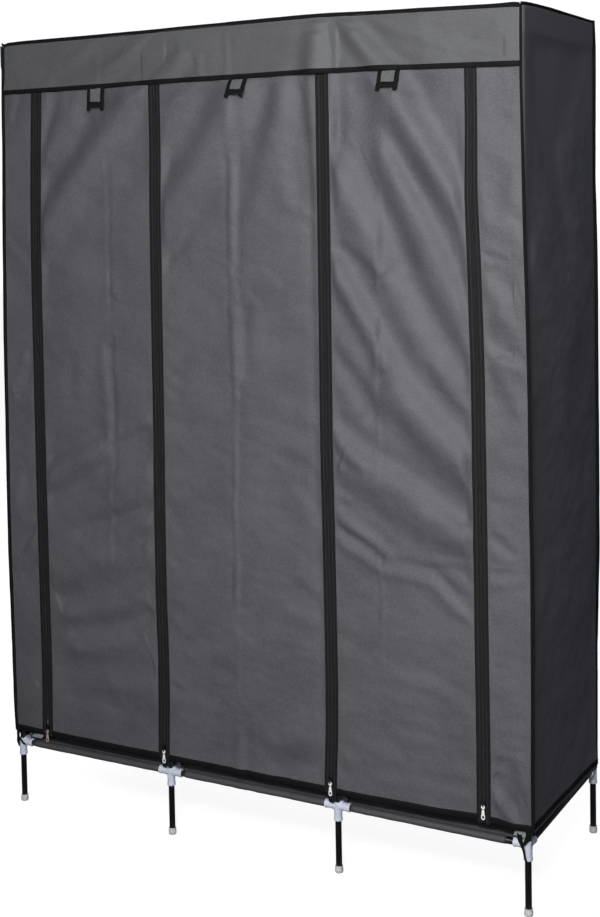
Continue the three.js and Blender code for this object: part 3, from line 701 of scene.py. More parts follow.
DOOR_FOLDS = {
    "left": [
        ([(-478, 1642), (-488, 1595), (-508, 1552)], 14, 0.17, 20, 8),
        ([(-452, 1645), (-470, 1590), (-492, 1540), (-516, 1500)], 17, -0.18, 8, 8),
        ([(-396, 1645), (-398, 1605), (-404, 1565)], 14, 0.12, 8, 30),
        ([(-400, 1590), (-430, 1532), (-465, 1492), (-495, 1465), (-518, 1448)], 17, 0.17, 30, 8),
        ([(-408, 1645), (-430, 1612)], 10, -0.10, 8, 20),
        ([(-258, 1648), (-300, 1600), (-338, 1558), (-385, 1505), (-435, 1450), (-490, 1395), (-520, 1362)], 29, -0.21, 8, 8),
        ([(-230, 1645), (-262, 1592), (-300, 1545), (-345, 1490), (-390, 1430), (-440, 1365), (-480, 1310), (-518, 1276)], 27, 0.19, 8, 8),
        ([(-250, 1520), (-300, 1440), (-350, 1380)], 26, 0.10, 60, 60),
        ([(-326, 1440), (-326, 1300), (-328, 1150), (-326, 1010)], 6, -0.06, 60, 40),
        ([(-337, 1510), (-336, 1400), (-337, 1250), (-338, 1150)], 5, 0.07, 30, 60),
        ([(-336, 1234), (-335, 1198)], 4, 0.16, 14, 8),
        ([(-332, 1196), (-314, 1174)], 7, -0.14, 10, 16),
        ([(-346, 1082), (-345, 1030), (-339, 950), (-338, 870)], 10, 0.2, 30, 30),
        ([(-326, 1010), (-324, 900), (-325, 800)], 6, -0.11, 60, 40),
        ([(-341, 880), (-340, 800), (-338, 715)], 5, 0.12, 20, 20),
        ([(-341, 704), (-340, 655), (-338, 595)], 6, 0.14, 16, 40),
        ([(-339, 600), (-340, 450), (-338, 330)], 5, 0.05, 40, 60),
        ([(-452, 1182), (-485, 1168), (-518, 1146)], 9, 0.16, 30, 8),
        ([(-425, 1062), (-432, 1000), (-436, 940)], 16, -0.07, 40, 40),
        ([(-520, 792), (-430, 836), (-350, 872)], 16, 0.30, 8, 60),
        ([(-520, 736), (-430, 780), (-350, 818)], 15, -0.26, 8, 60),
        ([(-340, 862), (-290, 880), (-228, 906)], 12, -0.22, 50, 8),
        ([(-360, 776), (-290, 806), (-228, 832)], 24, 0.20, 60, 8),
        ([(-430, 722), (-380, 738), (-340, 752)], 14, 0.12, 30, 20),
        ([(-470, 670), (-400, 688), (-335, 702), (-280, 722), (-228, 742)], 14, -0.15, 40, 8),
        ([(-432, 628), (-385, 648), (-345, 664), (-285, 694), (-228, 722)], 14, 0.20, 30, 8),
        ([(-285, 640), (-250, 668), (-228, 690)], 9, -0.16, 20, 8),
        ([(-262, 640), (-228, 665)], 9, 0.20, 16, 8),
        ([(-505, 512), (-450, 536), (-395, 562), (-335, 576), (-228, 592)], 22, -0.16, 8, 8),
        ([(-480, 472), (-400, 500), (-320, 518), (-262, 556), (-228, 578)], 16, 0.18, 30, 8),
        ([(-515, 428), (-450, 447), (-385, 456), (-325, 474), (-240, 505)], 16, -0.13, 8, 20),
        ([(-460, 398), (-400, 414), (-350, 426), (-290, 442), (-232, 478)], 17, 0.18, 30, 8),
        ([(-460, 350), (-360, 372), (-245, 402)], 20, -0.09, 40, 8),
        ([(-350, 318), (-290, 330), (-230, 352)], 17, 0.14, 30, 8),
        ([(-480, 262), (-400, 262), (-340, 258)], 18, 0.08, 40, 40),
    ],
    "middle": [
        ([(-100, 1646), (-130, 1622), (-172, 1598)], 9, -0.14, 8, 14),
        ([(-72, 1648), (-98, 1608), (-128, 1570), (-160, 1530), (-196, 1486)], 22, 0.15, 8, 8),
        ([(-140, 1600), (-196, 1572)], 9, 0.12, 20, 8),
        ([(-44, 1648), (-72, 1570), (-105, 1512), (-150, 1452), (-198, 1395)], 30, -0.18, 8, 8),
        ([(54, 1648), (22, 1575), (-15, 1512), (-60, 1455), (-108, 1388), (-150, 1335), (-198, 1284)], 29, 0.15, 8, 8),
        ([(-9, 1620), (-11, 1550), (-8, 1488)], 9, 0.17, 20, 16),
        ([(-108, 1322), (-145, 1285), (-198, 1232)], 13, -0.15, 40, 8),
        ([(-24, 1484), (-26, 1400), (-25, 1300), (-22, 1262)], 6, -0.14, 14, 20),
        ([(-9, 1486), (-9, 1390), (-11, 1300), (-13, 1231)], 8.5, 0.22, 16, 5),
        ([(-11, 1222), (-4, 1176)], 5, 0.15, 5, 14),
        ([(-3, 1168), (-2, 1100), (-3, 1018)], 11, 0.27, 10, 16),
        ([(-27, 1238), (-26, 1170), (-22, 1060), (-22, 960)], 5, -0.13, 8, 40),
        ([(-9, 1018), (-12, 950), (-14, 890)], 6, 0.11, 14, 16),
        ([(-12, 882), (-13, 842), (-16, 796)], 6, 0.15, 10, 10),
        ([(-15, 800), (-20, 750), (-14, 695)], 5, 0.13, 10, 14),
        ([(-22, 885), (-25, 780), (-28, 720), (-25, 640)], 4, -0.13, 14, 20),
        ([(-14, 642), (-16, 580), (-20, 522)], 6, 0.15, 14, 10),
        ([(-26, 618), (-29, 580), (-31, 540)], 5, -0.18, 14, 10),
        ([(-16, 475), (-17, 400), (-20, 335)], 5, 0.07, 20, 30),
        ([(-12, 270), (-14, 172)], 10, 0.14, 20, 6),
        ([(-31, 265), (-38, 172)], 8, -0.08, 30, 6),
        ([(94, 1648), (78, 1580), (55, 1510), (38, 1430), (20, 1362)], 21, -0.19, 8, 40),
        ([(118, 1648), (122, 1560), (118, 1480), (125, 1420), (132, 1372)], 20, 0.20, 8, 24),
        ([(158, 1648), (165, 1560), (173, 1480), (182, 1390), (184, 1320)], 12, -0.28, 8, 40),
        ([(149, 1646), (160, 1614), (172, 1588)], 2.6, 0.20, 6, 10),
        ([(142, 1646), (152, 1612)], 2.6, -0.14, 6, 10),
        ([(148, 1370), (186, 1356)], 6, 0.16, 20, 6),
        ([(52, 1252), (78, 1232), (100, 1212)], 11, 0.10, 20, 16),
        ([(16, 1202), (34, 1186), (52, 1168)], 7, 0.12, 10, 14),
        ([(56, 1128), (100, 1120), (145, 1128)], 20, -0.09, 40, 30),
        ([(-98, 1268), (-62, 1262), (-30, 1246)], 3, -0.11, 14, 8),
        ([(-85, 1281), (-50, 1270), (-24, 1254)], 4, 0.09, 14, 8),
        ([(-110, 1190), (-80, 1172), (-60, 1150)], 14, 0.06, 20, 20),
        ([(-198, 1102), (-165, 1091), (-138, 1078)], 9, 0.11, 6, 16),
        ([(-198, 1024), (-172, 1009), (-150, 996)], 9, 0.12, 6, 16),
        ([(-198, 988), (-176, 976), (-155, 966)], 8, 0.11, 6, 16),
        ([(60, 1000), (110, 978), (186, 958)], 20, 0.07, 40, 8),
        ([(-198, 905), (-160, 892), (-130, 880)], 16, 0.07, 6, 30),
        ([(-80, 855), (-55, 846), (-36, 836)], 9, 0.10, 14, 8),
        ([(70, 858), (98, 844)], 8, 0.10, 12, 12),
        ([(100, 872), (150, 850), (188, 828)], 12, -0.13, 30, 8),
        ([(118, 802), (150, 776), (188, 742)], 16, 0.13, 30, 8),
        ([(120, 905), (188, 890)], 12, 0.08, 30, 8),
        ([(-198, 745), (-150, 730)], 16, -0.08, 8, 30),
        ([(-198, 690), (-160, 676)], 12, 0.07, 8, 30),
        ([(-198, 614), (-165, 598)], 8, 0.10, 6, 20),
        ([(122, 604), (155, 588), (188, 568)], 12, -0.13, 30, 8),
        ([(98, 548), (145, 536), (188, 524)], 14, 0.13, 30, 8),
        ([(-198, 502), (-160, 484)], 12, 0.09, 6, 30),
        ([(-150, 396), (-90, 402), (-40, 410)], 16, -0.06, 30, 30),
        ([(-198, 346), (-158, 330)], 8, -0.12, 6, 20),
        ([(-198, 320), (-120, 322), (-60, 318)], 14, 0.07, 8, 40),
        ([(52, 222), (105, 238), (188, 258)], 26, -0.17, 40, 8),
    ],
    "right": [
        ([(368, 1650), (398, 1575), (440, 1500), (490, 1410), (512, 1368)], 24, 0.32, 8, 8),
        ([(300, 1650), (316, 1600), (345, 1545), (392, 1478), (440, 1410), (490, 1345), (514, 1300)], 25, -0.32, 8, 8),
        ([(280, 1650), (288, 1590), (302, 1530)], 26, -0.14, 8, 50),
        ([(300, 1550), (318, 1470), (345, 1400), (378, 1320), (405, 1255), (440, 1190), (480, 1125), (514, 1074)], 21, -0.28, 80, 8),
        ([(335, 1510), (370, 1440), (405, 1385), (440, 1320), (470, 1255), (514, 1172)], 15, 0.16, 60, 8),
        ([(224, 1650), (224, 1570), (214, 1505)], 12, 0.28, 8, 30),
        ([(208, 1508), (245, 1455), (275, 1400), (305, 1350), (330, 1290), (352, 1232)], 25, 0.30, 8, 60),
        ([(345, 1245), (385, 1180), (420, 1120), (455, 1070), (514, 1004)], 24, 0.14, 50, 8),
        ([(422, 1066), (455, 1016), (514, 962)], 10, -0.13, 30, 8),
        ([(208, 1292), (258, 1222), (298, 1160), (335, 1095), (372, 1040), (420, 985), (465, 942), (516, 896)], 23, 0.31, 8, 8),
        ([(208, 1308), (258, 1285), (300, 1255), (320, 1230)], 12, -0.22, 8, 10),
        ([(212, 1454), (230, 1426), (234, 1395), (219, 1366)], 8, -0.12, 10, 10),
        ([(262, 1514), (290, 1465), (320, 1400)], 3, -0.14, 16, 30),
        ([(254, 1524), (276, 1488)], 5, 0.14, 10, 16),
        ([(208, 1244), (245, 1188), (275, 1140), (303, 1092), (314, 1046)], 17, -0.29, 8, 30),
        ([(216, 1096), (262, 1052), (298, 1000), (318, 940)], 14, -0.23, 20, 40),
        ([(220, 1048), (250, 1010), (270, 966)], 12, 0.11, 16, 20),
        ([(312, 996), (365, 945), (415, 893), (465, 852), (516, 812)], 25, -0.29, 30, 8),
        ([(208, 929), (262, 893), (310, 862), (352, 840), (400, 810), (440, 782), (480, 758), (516, 742)], 19, 0.32, 8, 8),
        ([(208, 902), (248, 866), (280, 840)], 10, -0.22, 8, 20),
        ([(216, 830), (280, 800), (335, 762), (405, 726)], 24, -0.21, 10, 40),
        ([(395, 728), (455, 706), (516, 696)], 20, -0.14, 40, 8),
        ([(208, 872), (240, 845)], 7, 0.16, 8, 14),
        ([(208, 804), (248, 784)], 7, 0.18, 8, 14),
        ([(208, 768), (250, 742), (290, 716), (348, 680)], 10, 0.21, 8, 30),
        ([(216, 733), (262, 712), (308, 689)], 7, -0.20, 10, 10),
        ([(208, 712), (250, 692), (285, 675), (316, 657)], 10, 0.36, 8, 10),
        ([(310, 656), (345, 652), (390, 648), (432, 639), (460, 612), (490, 590), (518, 571)], 10, 0.34, 10, 8),
        ([(316, 674), (370, 663), (432, 652)], 7, 0.12, 12, 16),
        ([(416, 696), (470, 694), (516, 692)], 3, -0.16, 20, 6),
        ([(426, 670), (470, 669), (516, 668)], 8, -0.16, 20, 8),
        ([(452, 648), (485, 628), (516, 614)], 8, -0.17, 16, 8),
        ([(484, 656), (516, 632)], 5, 0.18, 12, 6),
        ([(336, 1500), (337, 1400)], 8, 0.08, 40, 40),
        ([(320, 1405), (322, 1300), (320, 1195)], 6, 0.13, 30, 20),
        ([(318, 1158), (318, 1100), (317, 1036)], 5, 0.20, 14, 20),
        ([(314, 1045), (315, 980), (316, 900)], 5, 0.10, 20, 20),
        ([(318, 930), (318, 800), (318, 700)], 4, 0.07, 30, 30),
        ([(312, 650), (313, 590), (313, 540)], 5, -0.10, 10, 20),
        ([(320, 640), (320, 540), (320, 440)], 5, 0.07, 20, 40),
        ([(208, 486), (255, 472), (292, 454)], 14, 0.09, 8, 20),
        ([(340, 446), (400, 438), (450, 425), (516, 392)], 13, 0.11, 40, 8),
        ([(208, 560), (290, 540), (400, 536), (516, 545)], 20, 0.05, 10, 10),
        ([(300, 305), (330, 270), (356, 236)], 22, 0.06, 30, 30),
        ([(212, 266), (262, 250)], 9, 0.09, 10, 16),
        ([(285, 226), (400, 227), (516, 225)], 10, 0.08, 30, 8),
        ([(208, 250), (238, 222)], 12, -0.10, 8, 16),
    ],
}
VALANCE_FOLDS = [
    ([(-330, 1756), (-370, 1722), (-430, 1690), (-480, 1676)], 14, 0.12, 8, 40),
    ([(-362, 1756), (-400, 1722), (-440, 1706)], 10, -0.12, 8, 30),
    ([(-236, 1750), (-290, 1708), (-342, 1684)], 13, -0.13, 10, 30),
    ([(-200, 1756), (-255, 1702), (-335, 1650)], 15, 0.17, 8, 8),
    ([(-138, 1714), (-172, 1686), (-216, 1650)], 13, -0.17, 20, 8),
    ([(-112, 1694), (-152, 1650)], 12, 0.18, 16, 8),
    ([(-100, 1700), (-100, 1645)], 5, -0.07, 16, 6),
    ([(-82, 1695), (-80, 1645)], 6, 0.09, 16, 6),
    ([(-30, 1756), (-30, 1645)], 5, -0.06, 6, 6),
    ([(-17, 1756), (-15, 1645)], 5, 0.09, 6, 6),
    ([(181, 1750), (172, 1700), (160, 1645)], 17, -0.20, 14, 6),
    ([(203, 1758), (205, 1700), (207, 1640)], 24, 0.19, 6, 6),
    ([(232, 1754), (262, 1705), (300, 1646)], 17, -0.26, 12, 6),
    ([(248, 1758), (300, 1702), (362, 1648)], 15, 0.27, 8, 10),
    ([(288, 1752), (370, 1705), (450, 1678), (510, 1655)], 9, -0.14, 20, 16),
    ([(420, 1704), (490, 1675), (548, 1652)], 20, 0.10, 40, 14),
    ([(-346, 1752), (-346, 1648)], 5, 0.06, 16, 8),
]
LEFT_STILE_FOLDS = [
    ([(-571, 1648), (-585, 1600), (-594, 1570)], 9, 0.16, 8, 20),
    ([(-612, 1310), (-580, 1278), (-548, 1256)], 9, 0.14, 8, 8),
    ([(-556, 1050), (-575, 1000), (-606, 955)], 12, 0.18, 8, 10),
    ([(-568, 1058), (-598, 1028)], 8, -0.12, 12, 10),
    ([(-582, 768), (-602, 700)], 10, 0.14, 30, 20),
    ([(-548, 668), (-592, 628)], 7, 0.18, 6, 14),
    ([(-552, 640), (-590, 600)], 8, -0.16, 6, 14),
    ([(-548, 614), (-580, 568), (-618, 538)], 10, 0.24, 6, 8),
    ([(-550, 530), (-590, 494)], 10, 0.12, 6, 20),
    ([(-552, 278), (-580, 244), (-612, 204)], 11, 0.24, 6, 8),
    ([(-546, 860), (-552, 800)], 10, 0.10, 20, 20),
]
RIGHT_STILE_FOLDS = [
    ([(541, 1436), (547, 1385), (560, 1354), (590, 1344), (626, 1326)], 15, 0.17, 30, 8),
    ([(592, 1436), (588, 1385), (594, 1354)], 11, -0.11, 30, 20),
    ([(536, 1474), (570, 1458), (600, 1436)], 12, -0.09, 8, 20),
    ([(586, 1342), (626, 1336)], 2.6, 0.20, 14, 6),
    ([(534, 1290), (560, 1282), (592, 1270)], 5, -0.20, 6, 14),
    ([(534, 1274), (560, 1264)], 6, 0.16, 6, 12),
    ([(598, 1278), (626, 1272)], 4, -0.14, 8, 6),
    ([(548, 1240), (574, 1216), (590, 1184), (596, 1150)], 15, 0.19, 20, 24),
    ([(600, 1246), (606, 1200)], 11, -0.10, 24, 24),
    ([(552, 1160), (585, 1126), (612, 1098)], 15, -0.15, 20, 20),
    ([(596, 1124), (626, 1114)], 3, -0.26, 10, 6),
    ([(536, 1112), (568, 1092), (595, 1079), (618, 1072)], 11, 0.25, 6, 14),
    ([(546, 1064), (575, 1020), (602, 966)], 17, -0.20, 10, 24),
    ([(538, 946), (575, 932)], 6, 0.12, 6, 16),
    ([(536, 856), (580, 846), (626, 838)], 12, 0.10, 6, 6),
    ([(536, 814), (626, 806)], 9, -0.10, 8, 8),
    ([(536, 728), (560, 715), (596, 697)], 8, 0.20, 6, 16),
    ([(552, 748), (584, 728)], 8, -0.14, 10, 14),
    ([(536, 690), (580, 689), (626, 694)], 5, -0.12, 8, 8),
    ([(536, 674), (580, 674), (626, 678)], 5, -0.10, 8, 8),
    ([(536, 650), (585, 656), (626, 668)], 9, 0.22, 6, 6),
    ([(536, 484), (560, 471), (594, 454)], 10, 0.10, 6, 16),
    ([(540, 258), (575, 218), (600, 192), (628, 166)], 11, 0.32, 8, 6),
    ([(586, 310), (602, 262), (622, 222)], 13, -0.18, 20, 8),
    ([(545, 222), (570, 196), (590, 170)], 10, -0.12, 8, 6),
]


def body_noise(X, Z, seed, a=1.0):
    """The cloth's own unevenness: soft waves, and finer crumple from being folded small."""
    return a * (1.1 * vnoise(X / 85, Z / 60, seed) + 0.62 * vnoise(X / 40 + Z / 160, Z / 24, seed + 1)
                + 0.40 * vnoise(X / 19 + Z / 90, Z / 12, seed + 2) + 0.15 * vnoise(X / 8.5 + Z / 60, Z / 6, seed + 3))


def front_y(X, Z, part):
    """y of the outer side of a front panel."""
    if part in DOOR_FOLDS:
        i = BAYS.index(part)
        za, zb = ZIP_X[i](Z), ZIP_X[i + 1](Z)
        wa, wb = zip_wave(i, Z), zip_wave(i + 1, Z)
        da, db = X - (za + TAPE / 2), (zb - TAPE / 2) - X
        d = np.minimum(da, db)
        u = np.clip((X - za) / (zb - za), 0, 1)
        h = folds(X, Z, DOOR_FOLDS[part], lambda x, z: z > 1636 or z < 186 or x < ZIP_X[i](z) + 17 or x > ZIP_X[i + 1](z) - 17) + body_noise(X, Z, 31 + 5 * i)
        h *= smooth((d + 6) / 26)
        h += 1.1 * vnoise(X / 300 + 7, Z / 33.0, 50 + i) * np.exp(-(np.clip(d, 0, None) / 20) ** 2) * smooth((d + 6) / 10)
        top = smooth((1643 - Z) / 34)
        h = h * (0.4 + 0.6 * top)
        h = np.minimum(h, 0.5 + 0.33 * (1641 - Z))
        if part == "left":
            h = np.where((np.abs(X + 354) < 32) & (Z > 1588), np.minimum(h, 1.8), h)
        h += wa * (1 - u) + wb * u
        h += 2.0 * smooth((228 - Z) / 64) * smooth((d - 2) / 22)
        h -= 0.9 * smooth((Z - 1625) / 16)
        return OUT_F - h
    if part == "left_stile":
        za, w = ZIP_X[0](Z), zip_wave(0, Z)
        d = (za - TAPE / 2) - X
        h = folds(X, Z, LEFT_STILE_FOLDS, lambda x, z: z > 1636 or x < -609 or x > -551) + body_noise(X, Z, 61, 0.8)
        u = smooth((X - LEFT_X(Z)) / 60)
        h = h * smooth((d + 5) / 20) * smooth((X - LEFT_X(Z) + 4) / 22)
        h = h + w * u + 1.2 * smooth((228 - Z) / 64) * smooth((X - LEFT_X(Z)) / 20) * smooth((d - 2) / 20)
        h = np.where(np.abs(X + 616) < 16, np.maximum(h, -1.6), h)
        return OUT_F - h + 0.9 * smooth((Z - 1625) / 16)
    if part == "right_stile":
        za, w = ZIP_X[3](Z), zip_wave(3, Z)
        d = X - (za + TAPE / 2)
        h = folds(X, Z, RIGHT_STILE_FOLDS, lambda x, z: x > 616 or x < 537) + body_noise(X, Z, 71, 1.2)
        u = smooth((RIGHT_X(Z) - X) / 60)
        h = h * smooth((d + 5) / 20) * smooth((RIGHT_X(Z) - X + 4) / 22)
        h = h + w * u + 1.6 * smooth((228 - Z) / 64) * smooth((RIGHT_X(Z) - X) / 20) * smooth((d - 2) / 20)
        h = np.where(np.abs(X - 616) < 16, np.maximum(h, -1.6), h)
        return OUT_F - h + 0.9 * smooth((Z - 1625) / 16)
    if part == "valance":
        h = folds(X, Z, VALANCE_FOLDS, lambda x, z: z > 1748 or z < 1656) + body_noise(X, Z, 81, 0.8)
        h += 4.2 * np.exp(-((X - 212) / 80) ** 2)
        h *= smooth((X - LEFT_X(Z) + 4) / 24) * smooth((RIGHT_X(Z) - X + 4) / 24)
        rail = smooth((Z - 1716) / 14)
        h = h * (1 - 0.35 * rail)
        near = np.zeros(X.shape)
        for a in POSTS:
            near = np.maximum(near, smooth((42 - np.abs(X - a)) / 14))
        h = np.maximum(h, -0.2 - 1.5 * (1 - near) - 20 * (1 - rail) * (1 - near))
        h = h * (0.25 + 0.75 * smooth((TOP_Z(X) - 4.0 - Z) / 12))
        return OUT_F - 1.9 * smooth((1668 - Z) / 30) - h + 1.2 * smooth((Z - 1738) / 12)
    raise ValueError(part)


def spaced(n, tight=()):
    """n numbers from 0 to 1; tight is (place, half width, extra) where they crowd."""
    t = np.linspace(0, 1, 4001)
    w = np.ones_like(t)
    for c, s, k in tight:
        w += k * np.exp(-((t - c) / s) ** 2)
    f = np.concatenate(([0], np.cumsum(0.5 * (w[1:] + w[:-1]))))
    return np.interp(np.linspace(0, f[-1], n), f, t)


def panel(name, part, xa, xb, low, high, cols, rows):
    """One cloth of the front, between the lines xa(z) and xb(z) and the heights low(x) and high(x)."""
    u = np.linspace(0, 1, cols)[None, :] * np.ones((rows, 1))
    v = np.linspace(0, 1, rows)[:, None] * np.ones((1, cols))
    Z = HEM + 1470 * v
    for _ in range(3):
        X = xa(Z) + (xb(Z) - xa(Z)) * u
        Z = low(X) + (high(X) - low(X)) * v
    Y = front_y(X, Z, part)
    b = Build()
    add_sheet(b, np.stack([X, Y, Z], -1), 0.9, inner_mat=1)
    return b.obj(name, [CLOTH_TOP if part == "valance" else CLOTH, CLOTH_IN])


# ---------------------------------------------------------------- doors

for i, bay in enumerate(BAYS):
    ob = panel(f"door_cloth_{bay}", bay, lambda z, i=i: ZIP_X[i](z) + 9.5, lambda z, i=i: ZIP_X[i + 1](z) - 9.5,
               lambda x: HEM_Z(x) + 1.5, lambda x: 1643.0 + 0 * x, 140, 330)
    place(ob, f"door_{bay}", f"door_{bay}", slot="cloth_grey", joint=f"door_{bay}_roll_up")
    wide = float(ZIP_X[i + 1](900) - ZIP_X[i](900) - 19) * 0.001

# ---------------------------------------------------------------- front surround

ob = panel("stile_cloth_left", "left_stile", LEFT_X, lambda z: ZIP_X[0](z) - 9.5, lambda x: HEM_Z(x) + 1.5,
           lambda x: 1643.0 + 0 * x, 44, 330)
place(ob, "root", "cover_front_surround", slot="cloth_grey")
ob = panel("stile_cloth_right", "right_stile", lambda z: ZIP_X[3](z) + 9.5, RIGHT_X, lambda x: HEM_Z(x) + 1.5,
           lambda x: 1643.0 + 0 * x, 44, 330)
place(ob, "root", "cover_front_surround", slot="cloth_grey")
ob = panel("valance_cloth", "valance", LEFT_X, RIGHT_X, lambda x: VAL_Z(x) - 1.0, TOP_Z, 420, 40)
place(ob, "root", "cover_front_surround", slot="cloth_grey")


# ---------------------------------------------------------------- zips

def zip_half(name, k, sign, part, body, joint=None):
    """Half a zip: woven tape, one row of coil teeth and two rows of stitches. sign is -1 for the left half."""
    z = np.linspace(HEM - 2.0, 1641.5, 330)
    c = ZIP_X[k](z)
    y = OUT_F - zip_wave(k, z)
    b = Build()
    tape = np.array([0.9, 2.4, 5.0, 8.0, 11.0, 13.6, 14.5])
    lift = np.array([0.15, 0.35, 0.55, 0.75, 0.85, 0.9, 0.75])
    if sign < 0:
        tape, lift = -tape[::-1], lift[::-1]
    wob = 0.5 * vnoise(z / 42.0, k * 5 + sign * 1.7, 91)
    slim = 1 - (0.12 * smooth((z - 1150) / 420) if k == 3 else 0.0 * z)
    X = c[:, None] + tape[None, :] * ((1 + 0.02 * wob) * slim)[:, None]
    base = y[:, None] + 0 * X
    if part is not None:
        outer = np.clip((np.abs(tape) - 8) / 6.5, 0, 1)[None, :]
        base = base * (1 - outer) + front_y(X, np.repeat(z[:, None], len(tape), 1), part) * outer
    Y = base - lift[None, :]
    add_sheet(b, np.stack([X, Y, np.repeat(z[:, None], len(tape), 1)], -1), 0.7, mat=0)
    # the denser band along the middle of the tape
    q = np.array([4.9, 5.4, 7.4, 9.6, 10.1]) * (1 if sign > 0 else -1)
    q = np.sort(q)
    Xb = c[:, None] + q[None, :] * slim[:, None]
    order = np.argsort(tape)
    Yb = np.stack([np.interp(Xb[r], X[r][order], Y[r][order]) for r in range(len(z))]) - np.where(np.abs(q) % 4.9 < 0.4, 0.1, 0.42)[None, :]
    add_sheet(b, np.stack([Xb, Yb, np.repeat(z[:, None], len(q), 1)], -1), 0.3, mat=3)
    # coil teeth
    zt = np.arange(HEM + 4, 1640, 2.3) + (0 if sign < 0 else 1.15)
    ct, yt = ZIP_X[k](zt), np.interp(zt, z, y)
    n = len(zt)
    add_boxes(b, np.stack([ct + sign * 1.15, yt - 0.05, zt], -1), np.tile((1.5, 0, 0.25), (n, 1)),
              np.tile((0, 0.0, 0.62), (n, 1)), np.tile((0, -0.7, 0), (n, 1)), mat=1, taper=0.7)
    # stitching
    for off in (4.2, 11.8):
        q = np.interp(off, np.abs(tape) if sign > 0 else np.abs(tape)[::-1], np.arange(len(tape)))
        j = int(round(q)) if sign > 0 else len(tape) - 1 - int(round(q))
        p = np.stack([c + sign * off, Y[:, j] - 0.05, z], -1)
        add_stitches(b, p, (0, -1, 0), 3.8, 2.7, 0.5, 0.28, mat=2)
    ob = b.obj(name, [TAPE_M, COIL, THREAD, TAPE_BAND])
    place(ob, body, slot="cloth_trim_black", joint=joint)
    return ob


HALVES = [("left_edge", 0, "left_stile", "root", None, "left", "door_left", "door_left_roll_up"),
          ("mid_left", 1, "left", "door_left", "door_left_roll_up", "middle", "door_middle", "door_middle_roll_up"),
          ("mid_right", 2, "middle", "door_middle", "door_middle_roll_up", "right", "door_right", "door_right_roll_up"),
          ("right_edge", 3, "right", "door_right", "door_right_roll_up", "right_stile", "root", None)]
for zn, k, pa, ba, ja, pb, bb, jb in HALVES:
    zip_half(f"zip_tape_{zn}_a", k, -1, pa, ba, ja)
    zip_half(f"zip_tape_{zn}_b", k, 1, pb, bb, jb)


# ---------------------------------------------------------------- sides, back and roof

def side_base(z, t, right):
    """Outward x of a side cloth at height z and place t, 0 at the front seam and 1 at the back seam."""
    front = RIGHT_X(z) if right else -LEFT_X(z)
    back = BACK_X(z)
    return front + (back - front) * t


SIDE_FOLDS = [
    ([(-150, 1690), (-60, 1500), (60, 1280)], 40, 46, -4.0, 40, 120),
    ([(120, 1700), (40, 1560), (-90, 1420)], 44, 40, -3.5, 40, 90),
    ([(-170, 1300), (-60, 1180), (90, 1090)], 50, 44, 3.5, 60, 80),
    ([(-180, 960), (-20, 860), (170, 800)], 46, 50, -3.5, 60, 60),
    ([(-160, 640), (0, 560), (180, 520)], 50, 50, 3.0, 60, 60),
    ([(-170, 420), (-40, 330), (120, 270)], 44, 48, -3.0, 60, 60),
]


def side_panel(right):
    cols, rows = 120, 300
    t = spaced(cols, ((0.0, 0.03, 9), (1.0, 0.03, 9)))
    v = np.linspace(0, 1, rows)[:, None]
    Y = OUT_F + (BACK_Y - OUT_F) * t[None, :] + 0 * v
    hem = 160.0 + (143.0 - 160.0) * t + 1.5
    zt = np.interp(t, [0, 0.15, 0.4, 0.8, 1.0], [TOP_Z(600) + 0.5, 1748.0, 1749.5, 1749.5, 1750.0])
    Z = hem[None, :] + (zt - hem)[None, :] * v
    T = t[None, :] + 0 * v
    s = 1 if right else -1
    Q = Y if right else -Y
    h = ridges(Q, Z, SIDE_FOLDS) + body_noise(Y, Z, 101 if right else 111, 1.1)
    h *= smooth(T / 0.10) * smooth((1 - T) / 0.10) * smooth((1748 - Z) / 40)
    bulge = 5.0 * np.sin(np.pi * T) * smooth((Z - 150) / 300) * smooth((1745 - Z) / 300) - 3.0 * np.sin(np.pi * T) * smooth((Z - 1500) / 150)
    base = side_base(Z, T, right) + h + bulge
    R = 7.7 + 1.9 * smooth((Z - 1688) / 14) + 1.9 * smooth((188 - Z) / 14)
    keep = np.full(Y.shape, 616.0 - 60)
    for yp, inner in ((FRONT, 1), (BACK, -1)):
        dy = (Y - yp) * inner
        arc = 616 + np.sqrt(np.clip(R * R - dy * dy, 0, None))
        keep = np.maximum(keep, np.where(np.abs(dy) < R, np.where(dy < 0, arc, 616 + R), keep))
    mid = (Y > FRONT) & (Y < BACK)
    keep = np.where(mid, np.maximum(keep, 616 + R - 5.0 * smooth((Y - FRONT) / 80) * smooth((BACK - Y) / 80) * smooth((1700 - Z) / 30)), keep)
    rail = np.exp(-((Z - RAIL_Z) / 22.0) ** 2) + np.exp(-((Z - TOP_RAIL_Z) / 18.0) ** 2)
    keep = np.where(mid & (rail > 0.3), np.maximum(keep, 616 + 7.6), keep)
    X = softmax(base, keep, 0.9)
    P = np.stack([s * X, Y, Z], -1)
    if not right:
        P = P[:, ::-1]
    b = Build()
    add_sheet(b, P, 0.9, inner_mat=1)
    side = "right" if right else "left"
    ob = b.obj(f"side_cloth_{side}", [CLOTH_SIDE, CLOTH_IN])
    place(ob, "root", f"cover_{side}_side", slot="cloth_grey")
    return P if right else P[:, ::-1]


SIDE = {"right": side_panel(True), "left": side_panel(False)}


